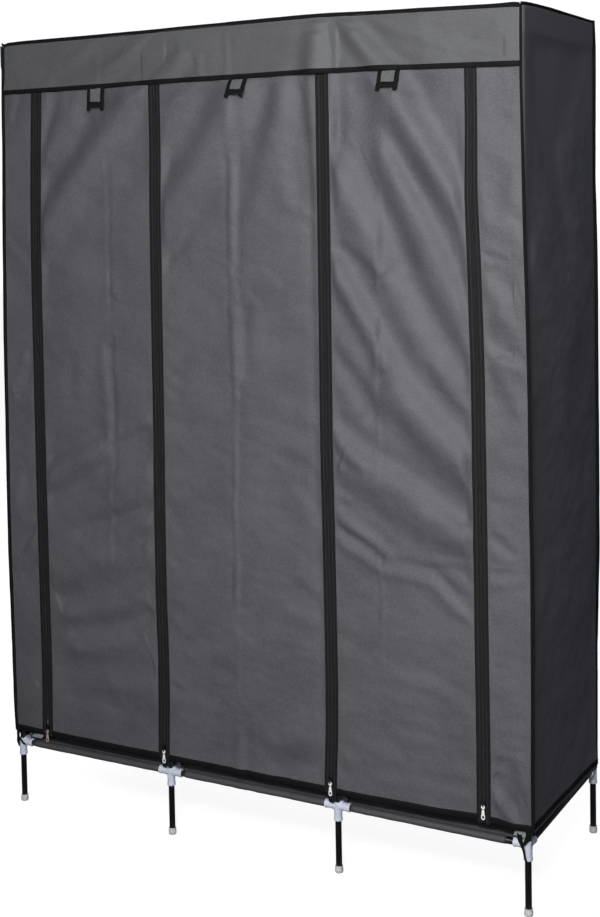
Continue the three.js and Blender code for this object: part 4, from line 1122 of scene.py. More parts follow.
def roof_z(X, Y):
    """Height of the roof cloth: it lies on the top rails and tubes, and sags a little between them."""
    t = np.clip((Y - OUT_F) / (BACK_Y - OUT_F), 0, 1)
    lim = np.clip((X + 622) / 1244, 0, 1)
    front = TOP_Z(X)
    back = 1750.0 + 1.5 * vnoise(X / 160, 0.5, 131)
    side = 1748.6
    sag = np.zeros_like(X)
    for a, c in zip(POSTS[:-1], POSTS[1:]):
        w = np.clip((X - a) / (c - a), 0, 1)
        sag += np.where((X >= a) & (X < c), np.sin(np.pi * w) ** 1.3, 0)
    z = 1748.3 - 7.5 * sag * np.sin(np.pi * t) ** 0.8 + 0.8 * body_noise(X, Y, 133, 1.3) * np.sin(np.pi * t)
    e = smooth((0.16 - t) / 0.16)
    z = z * (1 - e) + front * e
    e = smooth((t - 0.86) / 0.14)
    z = z * (1 - e) + back * e
    tubes = np.zeros_like(X)
    for a in POSTS:
        tubes = np.maximum(tubes, np.exp(-((X - a) / 9.0) ** 2))
    z = np.maximum(z, 1748.0 * tubes + (1 - tubes) * 0)
    z = np.where((np.abs(Y - FRONT) < 8) | (np.abs(Y - BACK) < 8), np.maximum(z, 1748.0), z)
    return z


def roof_panel():
    cols, rows = 260, 96
    t = spaced(rows, ((0.0, 0.03, 5), (1.0, 0.03, 5)))[:, None]
    s = spaced(cols, ((0.0, 0.012, 4), (1.0, 0.012, 4)))[None, :]
    Y = OUT_F + 0.6 + (BACK_Y - 0.6 - OUT_F - 0.6) * t + 0 * s
    lft = np.interp(Y[:, 0], [OUT_F, OUT_F + 22, 0, BACK_Y], [LEFT_X(1750), -620.5, -623.0, -621.5])[:, None]
    rgt = np.interp(Y[:, 0], [OUT_F, OUT_F + 22, 0, BACK_Y], [RIGHT_X(1750), 621.5, 623.0, 621.5])[:, None]
    X = lft + (rgt - lft) * s
    Z = roof_z(X, Y)
    b = Build()
    add_sheet(b, np.stack([X, Y, Z], -1), 0.9, inner_mat=1)
    ob = b.obj("roof_cloth", [CLOTH, CLOTH_IN])
    place(ob, "root", "cover_roof_and_back", slot="cloth_grey")


roof_panel()

BACK_FOLDS = [
    ([(-560, 1700), (-440, 1450), (-380, 1150)], 44, 50, -6, 60, 160),
    ([(560, 1700), (450, 1480), (400, 1200)], 50, 44, -6, 60, 160),
    ([(-120, 1700), (-60, 1400), (-80, 1050)], 40, 40, -5, 60, 160),
    ([(130, 1700), (70, 1420), (100, 1100)], 44, 40, 5, 60, 160),
    ([(-500, 900), (-300, 780), (-60, 720)], 50, 54, -6, 80, 120),
    ([(60, 860), (300, 740), (540, 700)], 50, 54, 6, 80, 120),
    ([(-520, 520), (-260, 430), (20, 400)], 48, 52, 5, 80, 120),
    ([(120, 430), (360, 350), (560, 330)], 46, 52, -5, 80, 80),
    ([(-310, 1700), (-310, 300)], 8, 12, 2.2, 100, 100),
    ([(310, 1700), (310, 300)], 12, 8, 2.2, 100, 100),
    ([(0, 1700), (0, 300)], 8, 8, -2.0, 100, 100),
    ([(-600, 900), (600, 905)], 8, 10, 1.8, 100, 100),
]


def back_y(X, Z):
    h = ridges(X, Z, BACK_FOLDS) + body_noise(X, Z, 141, 1.2)
    e = smooth((620 - np.abs(X)) / 40) * smooth((1749 - Z) / 40)
    h = h * e + 3.0 * smooth((240 - Z) / 90)
    for a in POSTS:
        near = np.exp(-((X - a) / 14.0) ** 2)
        h = np.where(near > 0.3, np.maximum(h, -1.2), np.maximum(h, -1.2 - 24 * (1 - near)))
    return OUT_B + 0.2 + h


def back_panel():
    cols, rows = 250, 290
    u = spaced(cols, ((0, 0.01, 3), (1, 0.01, 3)))[None, :]
    v = np.linspace(0, 1, rows)[:, None]
    Z = 144.0 + (1750.0 - 144.0) * v + 0 * u
    half = BACK_X(Z)
    X = half - 2 * half * u
    Z = 144.0 + (1750.0 + 1.5 * vnoise(X / 160, 0.5, 131) - 144.0) * v
    Y = back_y(X, Z)
    edge = smooth((BACK_X(Z) - np.abs(X)) / 16)
    Y = Y * edge + (BACK_Y - 0.2) * (1 - edge)
    b = Build()
    add_sheet(b, np.stack([X, Y, Z], -1), 0.9, inner_mat=1)
    ob = b.obj("back_cloth", [CLOTH, CLOTH_IN])
    place(ob, "root", "cover_roof_and_back", slot="cloth_grey")


back_panel()


# ---------------------------------------------------------------- bindings

def fin(name, path, out, width, normal, t=2.3, inset=2.6, body="root", slot="cloth_trim_black", joint=None, stitch=True):
    """A folded binding over the two edges of a seam, standing out from it along out."""
    path = np.asarray(path, float)
    out = np.broadcast_to(np.asarray(out, float), path.shape)
    du, dv, tg = axes(path, out)
    n = len(path)
    s = np.concatenate(([0], np.cumsum(np.linalg.norm(np.diff(path, axis=0), axis=1))))
    w = np.broadcast_to(np.asarray(width, float), (n,)) * (1 + 0.05 * vnoise(s / 38.0, 0.5, 151))
    tilt = 0.10 * vnoise(s / 70.0, 0.5, 152) + 0.05 * vnoise(s / 22.0, 0.5, 153)
    du2 = unit(du + dv * tilt[:, None])
    dv2 = np.cross(tg, du2)
    prof = np.stack([round_profile(-inset, x, t) for x in w])
    b = Build()
    add_sweep(b, path, du2, dv2, prof)
    if stitch:
        for sg in (1, -1):
            add_stitches(b, path + du2 * (w * 0.28)[:, None] + dv2 * sg * t * 0.5, dv2 * sg, 3.8, 2.6, 0.5, 0.25, mat=1)
    ob = b.obj(name, [TRIM, THREAD])
    place(ob, body, slot=slot, joint=joint)
    return ob


def deg(a):
    return math.radians(a)


zz = np.linspace(165, 1747, 260)
# front right: it stands out mostly sideways
xr, yr = RIGHT_X(zz), front_y(RIGHT_X(zz) - 1, np.minimum(zz, 1642.9), "right_stile")
yr = np.where(zz > 1641, front_y(RIGHT_X(zz) - 1, np.maximum(zz, 1642), "valance"), yr)
yr = np.convolve(np.pad(yr, 6, mode="edge"), np.ones(13) / 13, mode="valid")
fin("edge_binding_front_right", np.stack([xr, yr + 0.6, zz], -1), (math.cos(deg(20)), -math.sin(deg(20)), 0),
    np.interp(zz, [160, 300, 900, 1350, 1600, 1747], [7.5, 8, 7.4, 6.2, 4.8, 4.6]), None, inset=1.2)
# front left
zl = np.linspace(168, 1742, 260)
xl_, yl = LEFT_X(zl), front_y(LEFT_X(zl) + 1, np.minimum(zl, 1642.9), "left_stile")
yl = np.where(zl > 1641, front_y(LEFT_X(zl) + 1, np.maximum(zl, 1642), "valance"), yl)
yl = np.convolve(np.pad(yl, 6, mode="edge"), np.ones(13) / 13, mode="valid")
ang = np.radians(np.interp(zl, [160, 1400, 1600, 1747], [0, 2, 8, 16]))
fin("edge_binding_front_left", np.stack([xl_, yl + 0.6, zl], -1), np.stack([-np.cos(ang), -np.sin(ang), 0 * ang], -1),
    np.interp(zl, [160, 300, 1000, 1500, 1747], [7.5, 8.4, 8.4, 7.6, 6.2]), None)
# back right and back left
zb = np.linspace(146, 1757, 260)
for side, s in (("right", 1), ("left", -1)):
    a = np.radians(np.interp(zb, [140, 420, 600, 1250, 1440, 1560, 1757], [84, 80, 38, 40, 66, 58, 45]))
    fin(f"edge_binding_back_{side}", np.stack([s * BACK_X(zb), np.full(len(zb), BACK_Y), zb], -1),
        np.stack([s * np.cos(a), np.sin(a), 0 * a], -1), np.interp(zb, [140, 1700, 1757], [7.5, 7.5, 6]), None)
# roof front
xf = np.linspace(float(LEFT_X(1748)) + 1, float(RIGHT_X(1748)), 260)
zf = TOP_Z(xf)
yf = front_y(xf, zf - 1.0, "valance")
yf = np.convolve(np.pad(yf, 3, mode="edge"), np.ones(7) / 7, mode="valid")
drop = 3.5 * smooth((-598 - xf) / 10) + 1.5 * smooth((xf - 604) / 14)
fin("roof_binding_front", np.stack([xf, yf + 0.5, zf - drop], -1), (0, -0.36, 0.93),
    np.interp(xf, [-610, -560, 560, 610], [5.5, 6.6, 6.6, 8.0]), None)
# roof sides and back
ys = np.linspace(OUT_F + 1, BACK_Y, 110)
for side, s in (("right", 1), ("left", -1)):
    e0 = float(RIGHT_X(1747)) if s > 0 else -float(LEFT_X(1747))
    xs = np.interp(ys, [OUT_F, OUT_F + 14, 0, BACK_Y], [e0, 622.5, 624.0, 621.8])
    z0 = np.interp(ys, [OUT_F, OUT_F + 40, -56, 133, BACK_Y], [float(TOP_Z(600)), 1746.5, 1748.5, 1749, 1750])
    fin(f"roof_binding_{side}", np.stack([s * xs, ys, z0 - 0.5], -1), (s * 0.5, 0, 0.87),
        np.interp(ys, [OUT_F, 0, BACK_Y], [8.6, 7.6, 7.4]), None, inset=3.4)
xb = np.linspace(-621.5, 621.5, 220)
fin("roof_binding_back", np.stack([xb, np.full(len(xb), BACK_Y), 1750.0 + 1.5 * vnoise(xb / 160, 0.5, 131)], -1),
    (0, 0.62, 0.78), 6.8, None)


def flat_binding(name, xs, zc, part, half, body="root", joint=None, lift=0.5, low_out=0.0):
    """A binding folded over the free edge of a front cloth: flat on both faces, round at the bottom."""
    xs = np.asarray(xs, float)
    zc = np.asarray(zc, float)
    y = np.minimum.reduce([front_y(xs, zc + half * k, part) for k in (-0.9, -0.6, -0.3, 0.0, 0.3, 0.6, 0.9)]) + 0.35
    b = Build()
    a = np.linspace(-math.pi, 0, 7)
    t = 1.5
    ring = [(half, -t * 0.55), (half * 0.3, -t * 0.7), (-half * 0.4, -t * 0.72)]
    ring += [(-half + t * 0.7 * (1 + math.cos(x)) * 0 - t * 0.6 * math.sin(-x), t * 0.7 * math.cos(x)) for x in a[1:-1]]
    ring += [(-half * 0.4, t * 0.72 + 0.2), (half * 0.3, t * 0.7 + 0.2), (half, t * 0.55 + 0.2)]
    prof = np.array(ring)[::-1]
    path = np.stack([xs, y + 0.45 - lift, zc], -1)
    du = np.tile((0, 0, 1.0), (len(xs), 1))
    dv = np.tile((0, 1.0, 0), (len(xs), 1))
    add_sweep(b, path, du, dv, prof[:, ::1])
    row = np.stack([xs, y + 0.45 - lift - t * 0.68, zc + half * 0.62], -1)
    add_stitches(b, row, (0, -1, 0), 3.8, 2.7, 0.5, 0.28, mat=1)
    ob = b.obj(name, [TRIM, THREAD])
    place(ob, body, slot="cloth_trim_black", joint=joint)
    return ob


xv = np.linspace(float(LEFT_X(1641)) - 1.5, float(RIGHT_X(1641)) + 1.5, 320)
flat_binding("valance_binding", xv, VAL_Z(xv), "valance", 4.6, lift=0.7)
for part, x0, x1, body in (("left_stile", float(LEFT_X(175)) - 1, float(ZIP_X[0](175)) - 12, "root"),
                           ("left", float(ZIP_X[0](175)) + 12, float(ZIP_X[1](175)) - 12, "door_left"),
                           ("middle", float(ZIP_X[1](175)) + 12, float(ZIP_X[2](175)) - 12, "door_middle"),
                           ("right", float(ZIP_X[2](175)) + 12, float(ZIP_X[3](175)) - 12, "door_right"),
                           ("right_stile", float(ZIP_X[3](175)) + 12, float(RIGHT_X(175)) + 1, "root")):
    xh = np.linspace(x0, x1, max(12, int((x1 - x0) / 5)))
    flat_binding(f"hem_binding_{part}", xh, HEM_Z(xh) + 6.2, part, 6.2, body=body, lift=0.6)


def side_hem(right):
    P = SIDE["right" if right else "left"]
    row = P[2]
    s = 1 if right else -1
    b = Build()
    path = row + np.array((s * 0.35, 0, 3.0))
    du = np.tile((0, 0, 1.0), (len(path), 1))
    out = unit(np.stack([np.gradient(path[:, 1]) * s, -np.gradient(path[:, 0]) * s, 0 * path[:, 0]], -1))
    prof = round_profile(-5.5, 5.5, 3.0)
    t = unit(np.gradient(path, axis=0))
    dv = np.cross(t, du)
    add_sweep(b, path, du, dv, prof)
    add_stitches(b, path + out * 1.45 + np.array((0, 0, 3.0)), out, 3.8, 2.7, 0.5, 0.3, mat=1)
    ob = b.obj(f"hem_binding_side_{'right' if right else 'left'}", [TRIM, THREAD])
    place(ob, "root", slot="cloth_trim_black")


side_hem(True)
side_hem(False)
xk = np.linspace(-619, 619, 200)
b = Build()
pk = np.stack([xk, back_y(xk, np.full(len(xk), 150.0)) - 0.45, np.full(len(xk), 148.5)], -1)
add_sweep(b, pk, np.tile((0, 0, 1.0), (200, 1)), np.tile((0, -1.0, 0), (200, 1)), round_profile(-5.5, 5.5, 3.0))
add_stitches(b, pk + np.array((0, 1.5, 3.0)), (0, 1, 0), 3.8, 2.7, 0.5, 0.3, mat=1)
place(b.obj("hem_binding_back", [TRIM, THREAD]), "root", slot="cloth_trim_black")


# ---------------------------------------------------------------- frame tubes

def tube_piece(name, p0, p1, *nodes):
    b = Build()
    add_tube(b, p0, p1)
    ob = b.obj(name, TUBE, sharp=50)
    return place(ob, "root", *nodes, slot="tube_black")


for side, y in (("front", FRONT), ("back", BACK)):
    for x, pn in zip(POSTS, PLACES):
        tube_piece(f"leg_tube_{side}_{pn}", (x, y, 2.2), (x, y, POST_TOP), f"post_{side}_{pn}")
    for (xa, xb_), bn in zip(zip(POSTS[:-1], POSTS[1:]), BAYS):
        tube_piece(f"bottom_tube_{side}_{bn}", (xa + 9, y, RAIL_Z), (xb_ - 9, y, RAIL_Z), f"bottom_{side}_rail_{bn}")
for x, pn in zip(POSTS, PLACES):
    tube_piece(f"bottom_depth_tube_{pn}", (x, FRONT + 9, RAIL_Z), (x, BACK - 9, RAIL_Z), f"bottom_side_rail_{pn}")
for side, y in (("front", FRONT), ("back", BACK)):
    tube_piece(f"top_tube_{side}", (POSTS[0] - 6.5, y, TOP_RAIL_Z), (POSTS[3] + 6.5, y, TOP_RAIL_Z), f"top_{side}_rail")
lo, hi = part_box("hanging_rail")
tube_piece("hanging_tube", (lo[0] * 1000, (lo[1] + hi[1]) * 500, (lo[2] + hi[2]) * 500),
           (hi[0] * 1000, (lo[1] + hi[1]) * 500, (lo[2] + hi[2]) * 500), "hanging_rail")
HANG_Y = (lo[1] + hi[1]) * 500


# ---------------------------------------------------------------- moulded connectors

def remeshed(parts, voxel, smoothing=6):
    """One smooth moulding out of overlapping turned parts: (vertices, quads, triangles) in millimetres."""
    ob = parts.obj("moulding_tmp", PLASTIC)
    m = ob.modifiers.new("v", "REMESH")
    m.mode = "VOXEL"
    m.voxel_size = voxel * 0.001
    m.adaptivity = 0.0
    s = ob.modifiers.new("s", "SMOOTH")
    s.factor = 0.5
    s.iterations = smoothing
    deps = bpy.context.evaluated_depsgraph_get()
    me = bpy.data.meshes.new_from_object(ob.evaluated_get(deps))
    v = np.empty(len(me.vertices) * 3, np.float32)
    me.vertices.foreach_get("co", v)
    v = v.reshape(-1, 3).astype(float) * 1000
    q = np.array([list(p.vertices) for p in me.polygons if len(p.vertices) == 4], np.int64).reshape(-1, 4)
    t = np.array([list(p.vertices) for p in me.polygons if len(p.vertices) == 3], np.int64).reshape(-1, 3)
    bpy.data.objects.remove(ob, do_unlink=True)
    bpy.data.meshes.remove(me)
    return v, q, t


def solid_union(arms, low, high, reach, closed_top=False, voxel=0.75):
    """The outer body, remeshed solid."""
    b = Build()
    r = SOCKET_R

    def rod(p0, d, L, end_collar, start_collar=False):
        prof = [(0, 0), (0, r - 0.5), (0.5, r)]
        if start_collar:
            prof = [(0, 0), (0, r + 0.1), (0.7, r + 0.75), (5.0, r + 0.75), (6.4, r)]
        prof += [(L - 6.4, r), (L - 5.0, r + 0.75), (L - 0.7, r + 0.75), (L, r + 0.1), (L, 0)] if end_collar else [(L - 0.5, r), (L, r - 0.5), (L, 0)]
        add_lathe(b, p0, d, prof, 44)
    rod((0, 0, low), (0, 0, 1), high - low, not closed_top, True)
    for d in arms:
        rod((0, 0, 0), d, reach, True)
    for d in (d for d in arms if d[1] == 0):          # soft webs where a socket meets the sleeve
        for sg in (1, -1):
            c = np.asarray(d, float) * 8.0 + np.array((0, 0, sg * 6.5))
            add_lathe(b, c - np.asarray(d, float) * 5, d, [(0, 0), (0.8, 3.4), (4, 4.6), (8, 3.6), (11, 0)], 20)
    return remeshed(b, voxel)


def place_moulding(name, shape, origin, mirror, nodes):
    """Sets a moulding at origin, mirrored in x and/or y."""
    v, q, t = shape
    m = np.array(mirror, float)
    v2 = v * m + np.asarray(origin, float)
    flip = m.prod() < 0
    b = Build()
    b.add(v2, q[:, ::-1] if flip else q, (t[:, ::-1] if flip else t) if len(t) else None)
    ob = b.obj(name, [PLASTIC])
    return place(ob, "root", *nodes, slot="connector_plastic")


REACH = 29.0
X1, Y1 = (1.0, 0, 0), (0, 1.0, 0)
low_mid = solid_union([X1, (-1.0, 0, 0), Y1], 110 - RAIL_Z, 8.5, REACH, True)
low_end = solid_union([X1, Y1], 110 - RAIL_Z, 8.5, REACH, True)
for side, y, my in (("front", FRONT, 1), ("back", BACK, -1)):
    for x, pn in zip(POSTS, PLACES):
        shape = low_end if pn in ("left", "right") else low_mid
        place_moulding(f"connector_{side}_{pn}", shape, (x, y, RAIL_Z), (-1 if pn == "right" else 1, my, 1),
                       [f"bottom_connector_{side}_{pn}"])


def top_shape(arms, stub):
    b = Build()
    r = SOCKET_R

    def rod(p0, d, L):
        add_lathe(b, p0, d, [(0, 0), (0, r - 0.7), (0.5, r - 0.2), (L - 0.7, r - 0.2), (L, r - 0.8), (L, 0)], 44)
    rod((0, 0, 3), (0, 0, -1), 35)
    rod((0, 0, 0), Y1, REACH)
    for d in arms:
        rod((0, 0, 0), d, REACH if abs(d[0]) > 0 and stub.get(d[0], 1) else SOCKET_R)
    return remeshed(b, 0.85)


top_mid = top_shape([X1, (-1.0, 0, 0)], {})
top_end = top_shape([X1], {})


def saddle_shape():
    """The middle fitting: a ring on the depth tube, and a hook round the hanging rail under it."""
    b = Build()
    add_lathe(b, (0, -16, 0), Y1, [(0, 0), (0, 7.8), (0.7, 8.4), (4, 8.4), (5, 7.9), (27, 7.9), (28, 8.4), (31.3, 8.4), (32, 7.8), (32, 0)], 44)
    add_lathe(b, (-7, 0, HANG_Z - TOP_RAIL_Z), X1, [(0, 0), (0, 8.2), (0.7, 8.8), (13.3, 8.8), (14, 8.2), (14, 0)], 44)
    p = np.array([(0, 0, -3.0), (0, 0, -10.0), (0, 0, -17.0), (0, 0, -21.0)])
    du, dv, _ = axes(p, (1, 0, 0))
    add_sweep(b, p, du, dv, round_profile(-6.5, 6.5, 9.0, 6))
    return remeshed(b, 0.85)


saddle = saddle_shape()
for x, pn in zip(POSTS, PLACES):
    node_name = f"top_cross_member_{pn}"
    b = Build()
    add_tube(b, (x, FRONT + 9, TOP_RAIL_Z), (x, BACK - 9, TOP_RAIL_Z))
    place(b.obj(f"top_depth_tube_{pn}", TUBE, sharp=50), "root", node_name, slot="tube_black")
    for side, y, my in (("front", FRONT, 1), ("back", BACK, -1)):
        shape = top_end if pn in ("left", "right") else top_mid
        place_moulding(f"top_connector_{side}_{pn}", shape, (x, y, TOP_RAIL_Z), (-1 if pn == "right" else 1, my, 1),
                       [node_name])
    place_moulding(f"rail_saddle_{pn}", saddle, (x, HANG_Y, TOP_RAIL_Z), (1, 1, 1), [node_name])

# ---------------------------------------------------------------- foot caps

for side, y in (("front", FRONT), ("back", BACK)):
    for x, pn in zip(POSTS, PLACES):
        b = Build()
        add_lathe(b, (x, y, 0), (0, 0, 1), [(0.9, 0), (0.6, 3.2), (0.0, 4.6), (0.0, 6.6), (0.5, 7.6), (1.6, 8.3), (3.0, 8.5),
                                              (9.5, 8.35), (10.2, 8.1), (13.0, 8.05), (13.4, 8.3), (14.4, 8.3), (15.0, 7.9),
                                              (15.0, 7.0), (14.6, 6.62), (2.3, 6.6), (2.0, 6.2), (2.0, 0)], 48)
        for k in range(12):      # grip ribs round the lower part
            a = 2 * math.pi * k / 12
            add_boxes(b, [(x + 8.3 * math.cos(a), y + 8.3 * math.sin(a), 6.0)], [(-math.sin(a) * 0.7, math.cos(a) * 0.7, 0)],
                      [(0, 0, 3.0)], [(math.cos(a) * 0.45, math.sin(a) * 0.45, 0)], taper=0.7)
        place(b.obj(f"foot_{side}_{pn}", CAP, sharp=45), "root", f"foot_cap_{side}_{pn}", slot="foot_cap_plastic")


# ---------------------------------------------------------------- shelf cloths

def shelf(bay, x0, x1, seed, left, right):
    """One shelf cloth, sewn in a loop round the front rail and round the back rail; left and right are its edges'
    x at 9, 50 and 90 mm behind the front rail."""
    r = 7.6
    sec = []
    for a in np.linspace(math.radians(-40), math.radians(-270), 20):   # under, in front of and over the front rail
        sec.append((FRONT + r * math.cos(a), RAIL_Z + r * math.sin(a)))
    ya, yb = FRONT + 1, BACK - 1
    flat = [(y, 148.7) for y in np.linspace(ya + 4, yb - 4, 46)]
    back_loop = [(BACK + r * math.cos(a), RAIL_Z + r * math.sin(a)) for a in np.linspace(math.radians(90), math.radians(-140), 20)]
    start = [(FRONT + 15, 147.4), (FRONT + 11, 143.0), (FRONT + 8.5, 138.0)]
    end = [(BACK - 8.5, 138.0), (BACK - 11, 143.0), (BACK - 15, 147.4)]
    pts = np.array(start + sec + flat + back_loop + end)
    n = len(pts)
    rows = max(40, int((x1 - x0) / 7))
    xs = np.linspace(x1, x0, rows)
    Xg = np.repeat(xs[:, None], n, 1)
    Yg = np.repeat(pts[None, :, 0], rows, 0)
    Zg = np.repeat(pts[None, :, 1], rows, 0)
    u = (Xg - x0) / (x1 - x0)
    t = np.clip((Yg - FRONT) / (BACK - FRONT), 0, 1)
    far = np.array([0, 4, 9, 50, 90, 372, 404, 409, 414.0])
    e0, e1 = ([w, w, *e, e[2], e[2], w, w] for w, e in ((x0, left), (x1, right)))
    Xg = np.interp(Yg - FRONT, far, e0) * (1 - u) + np.interp(Yg - FRONT, far, e1) * u
    is_flat = np.zeros(n, bool)
    is_flat[len(start) + len(sec):len(start) + len(sec) + len(flat)] = True
    sag = 5.0 * np.sin(np.pi * t) ** 0.7 * np.sin(np.pi * np.clip(u, 0, 1)) ** 0.5
    wrin = body_noise(Xg, Yg, seed, 0.9) + 0.7 * vnoise(Xg / 26.0, Yg / 400.0, seed + 7) * np.exp(-((Yg - FRONT) / 60) ** 2)
    edge = np.exp(-(np.minimum(u, 1 - u) * (x1 - x0) / 15) ** 2) * smooth((Yg - FRONT - 60) / 30) * smooth((BACK - 14 - Yg) / 16)
    Zg = Zg + np.where(is_flat[None, :], 1.8 * edge - sag + wrin * smooth(t / 0.04) * smooth((1 - t) / 0.04) - 0.4, 0)
    # the loops are a little loose and puckered along the seam
    rad = 0.45 * vnoise(Xg / 17.0, np.arange(n)[None, :] / 9.0, seed + 3) + 0.3 * vnoise(Xg / 55.0, 0.5, seed + 4)
    for c, m in ((FRONT, pts[:, 0] < FRONT + 3), (BACK, pts[:, 0] > BACK - 3)):
        dy, dz = Yg - c, Zg - RAIL_Z
        ln = np.maximum(np.hypot(dy, dz), 1e-6)
        k = np.where(m[None, :] & ~is_flat[None, :], np.maximum(rad, -0.35), 0)
        Yg = Yg + dy / ln * k
        Zg = Zg + dz / ln * k
    P = np.stack([Xg, Yg, Zg], -1)
    b = Build()
    add_sheet(b, P, 0.8)
    ob = b.obj(f"shelf_cloth_{bay}", [SHELF, SHELF_TOP_PAINTED_LIGHT])
    # faces of the flat part between the rails get the lighter copy of the shelf cloth: painted light
    c = np.empty(len(ob.data.polygons) * 3)
    ob.data.polygons.foreach_get("center", c)
    c = c.reshape(-1, 3) * 1000
    ob.data.polygons.foreach_set("material_index", ((c[:, 1] > FRONT + 3) & (c[:, 1] < BACK - 3) & (c[:, 2] > 140)).astype(np.int32))
    place(ob, "root", "bottom_shelf_cloth", slot="cloth_shelf")


shelf("left", POSTS[0] + 38, POSTS[1] - 31, 201, (POSTS[0] + 12, POSTS[0] + 8, POSTS[0] + 1), (POSTS[1], POSTS[1] + 4.5, POSTS[1] - 1.5))
shelf("middle", POSTS[1] + 38, POSTS[2] - 31, 211, (POSTS[1] + 19, POSTS[1] + 18, POSTS[1] + 1.5), (POSTS[2], POSTS[2] + 4.5, POSTS[2] - 1.5))
shelf("right", POSTS[2] + 32, POSTS[3] - 44, 221, (POSTS[2] + 13.5, POSTS[2] + 12.5, POSTS[2] + 1.5), (POSTS[3] - 16, POSTS[3] - 8, POSTS[3] - 1))


# ---------------------------------------------------------------- ribbons, zip ends and loose corners of cloth

def ribbon(name, path, side, half, body="root", t=1.0, material_=None):
    """A soft black ribbon through a few points."""
    path = np.asarray(path, float)
    s = np.concatenate(([0], np.cumsum(np.linalg.norm(np.diff(path, axis=0), axis=1))))
    q = np.linspace(0, s[-1], 26)
    fine = np.stack([np.interp(q, s, path[:, k]) for k in range(3)], -1)
    for _ in range(3):
        fine[1:-1] = 0.25 * fine[:-2] + 0.5 * fine[1:-1] + 0.25 * fine[2:]
    w = np.interp(q / s[-1], np.linspace(0, 1, len(half)), half)
    du, dv, _ = axes(fine, side)
    b = Build()
    add_sweep(b, fine, du, dv, np.stack([round_profile(-a, a, t, 3) for a in w]))
    return place(b.obj(name, [material_ or TRIM]), body, slot="cloth_shelf" if material_ else "cloth_trim_black")


def zip_end(k, body, low, half=6.9):
    """The zip's tape runs on past the hem and ends in a rounded tongue."""
    x = float(ZIP_X[k](175)) + 2.4
    n = 20
    z = np.concatenate((np.linspace(192, low + half, 14), low + half - half * np.sin(np.linspace(0, math.pi / 2, 9)[1:])))
    w = np.concatenate((np.full(14, half), half * np.cos(np.linspace(0, math.pi / 2, 9)[1:]) + 0.5))
    y = -207.0 - 0.9 * smooth((180 - z) / 20)
    u = np.linspace(-1, 1, 13)
    P = np.stack([x + u[None, :] * w[::-1, None], y[::-1, None] + 0.3 * u[None, :] ** 2, z[::-1, None] + 0 * u[None, :]], -1)
    b = Build()
    add_sheet(b, P, 0.9)
    return place(b.obj(f"zip_end_{ZIPS[k]}", [TAPE_M]), body, slot="cloth_trim_black")


def flap(name, pts, bulge, material_):
    """A small loose corner of cloth: four corners (lower left, lower right, upper right, upper left)."""
    a, b_, c, d = (np.asarray(p, float) for p in pts)
    u, v = np.meshgrid(np.linspace(0, 1, 16), np.linspace(0, 1, 12))
    u, v = u[..., None], v[..., None]
    P = a * (1 - u) * (1 - v) + b_ * u * (1 - v) + c * u * v + d * (1 - u) * v
    P = P + np.array((0, -1, 0.3)) * (bulge * np.sin(np.pi * u) * np.sin(np.pi * v)) + np.array((0, 0.6, 0)) * np.sin(9 * u + 2 * v)
    b = Build()
    add_sheet(b, P, 0.9)
    ob = place(b.obj(name, [material_]), "root", slot="cloth_shelf")
    return ob


# these two hem strips carry the lighter shelf cloth: a painted highlight along the folded edges
ribbon("shelf_hem_middle", [(-180, -194, 149.2), (-184, -173, 149.4), (-191, -142, 149.0), (-195, -118, 148.2)], (1, 0, 0), [5.0, 6.0, 6.0, 5.0], material_=SHELF_HEM_PAINTED_LIGHT)
ribbon("shelf_hem_right", [(230.5, -195, 149.2), (234, -173, 149.6), (238, -140, 149.4), (239, -112, 148.8)], (1, 0, 0), [4.0, 4.2, 4.2, 4.0], material_=SHELF_HEM_PAINTED_LIGHT)
# black strips behind the hem at the middle posts: painted shade, covering the lit top of the connectors where there is
# only shade
for k, bay in ((1, "middle"), (2, "right")):
    ribbon(f"hem_painted_shade_strip_{bay}", [(POSTS[k] - 3, -203.2, 171.5), (POSTS[k] + 8, -203.4, 170.6), (POSTS[k] + 20, -203.4, 170.2)], (0, 0, 1), [4.5, 6.2, 4.0], body=f"door_{bay}")
zip_end(1, "door_left", 152.0)
zip_end(2, "door_middle", 149.0)
# front right corner
ribbon("ribbon_right_a", [(598.5, -203, 163), (601.0, -206.5, 152.5), (607.0, -207.5, 142.0), (611.5, -207.2, 131.5), (612.5, -206.8, 122.0), (616.0, -205.8, 110.0)], (1, 0, 0.3), [2.6, 2.8, 2.6, 2.2, 2.0])
ribbon("ribbon_right_b", [(604.5, -205.5, 162), (606.5, -207.6, 152.0), (610.5, -208.2, 141.0)], (1, 0, 0.2), [2.2, 2.4, 2.2])
ribbon("ribbon_right_c", [(620.6, -207.0, 176), (620.6, -207.4, 162), (616.5, -207.6, 152.0), (610.0, -208.2, 142.0)], (1, 0, 0.3), [5.0, 5.0, 4.2, 2.6])
ribbon("ribbon_right_d", [(622.5, -206.0, 172), (625.6, -203.5, 158), (626.0, -200.5, 147.0), (625.4, -198.0, 136.0)], (0.5, -0.86, 0), [4.5, 4.0, 2.2, 1.6])
# the corner flap is the much lighter copy of the shelf cloth: painted light
flap("shelf_corner_right", [(589.5, -203.5, 157.5), (617.0, -203.5, 153.5), (617.0, -201, 174), (593, -201, 174)], 1.2, SHELF_CORNER_PAINTED_LIGHT)
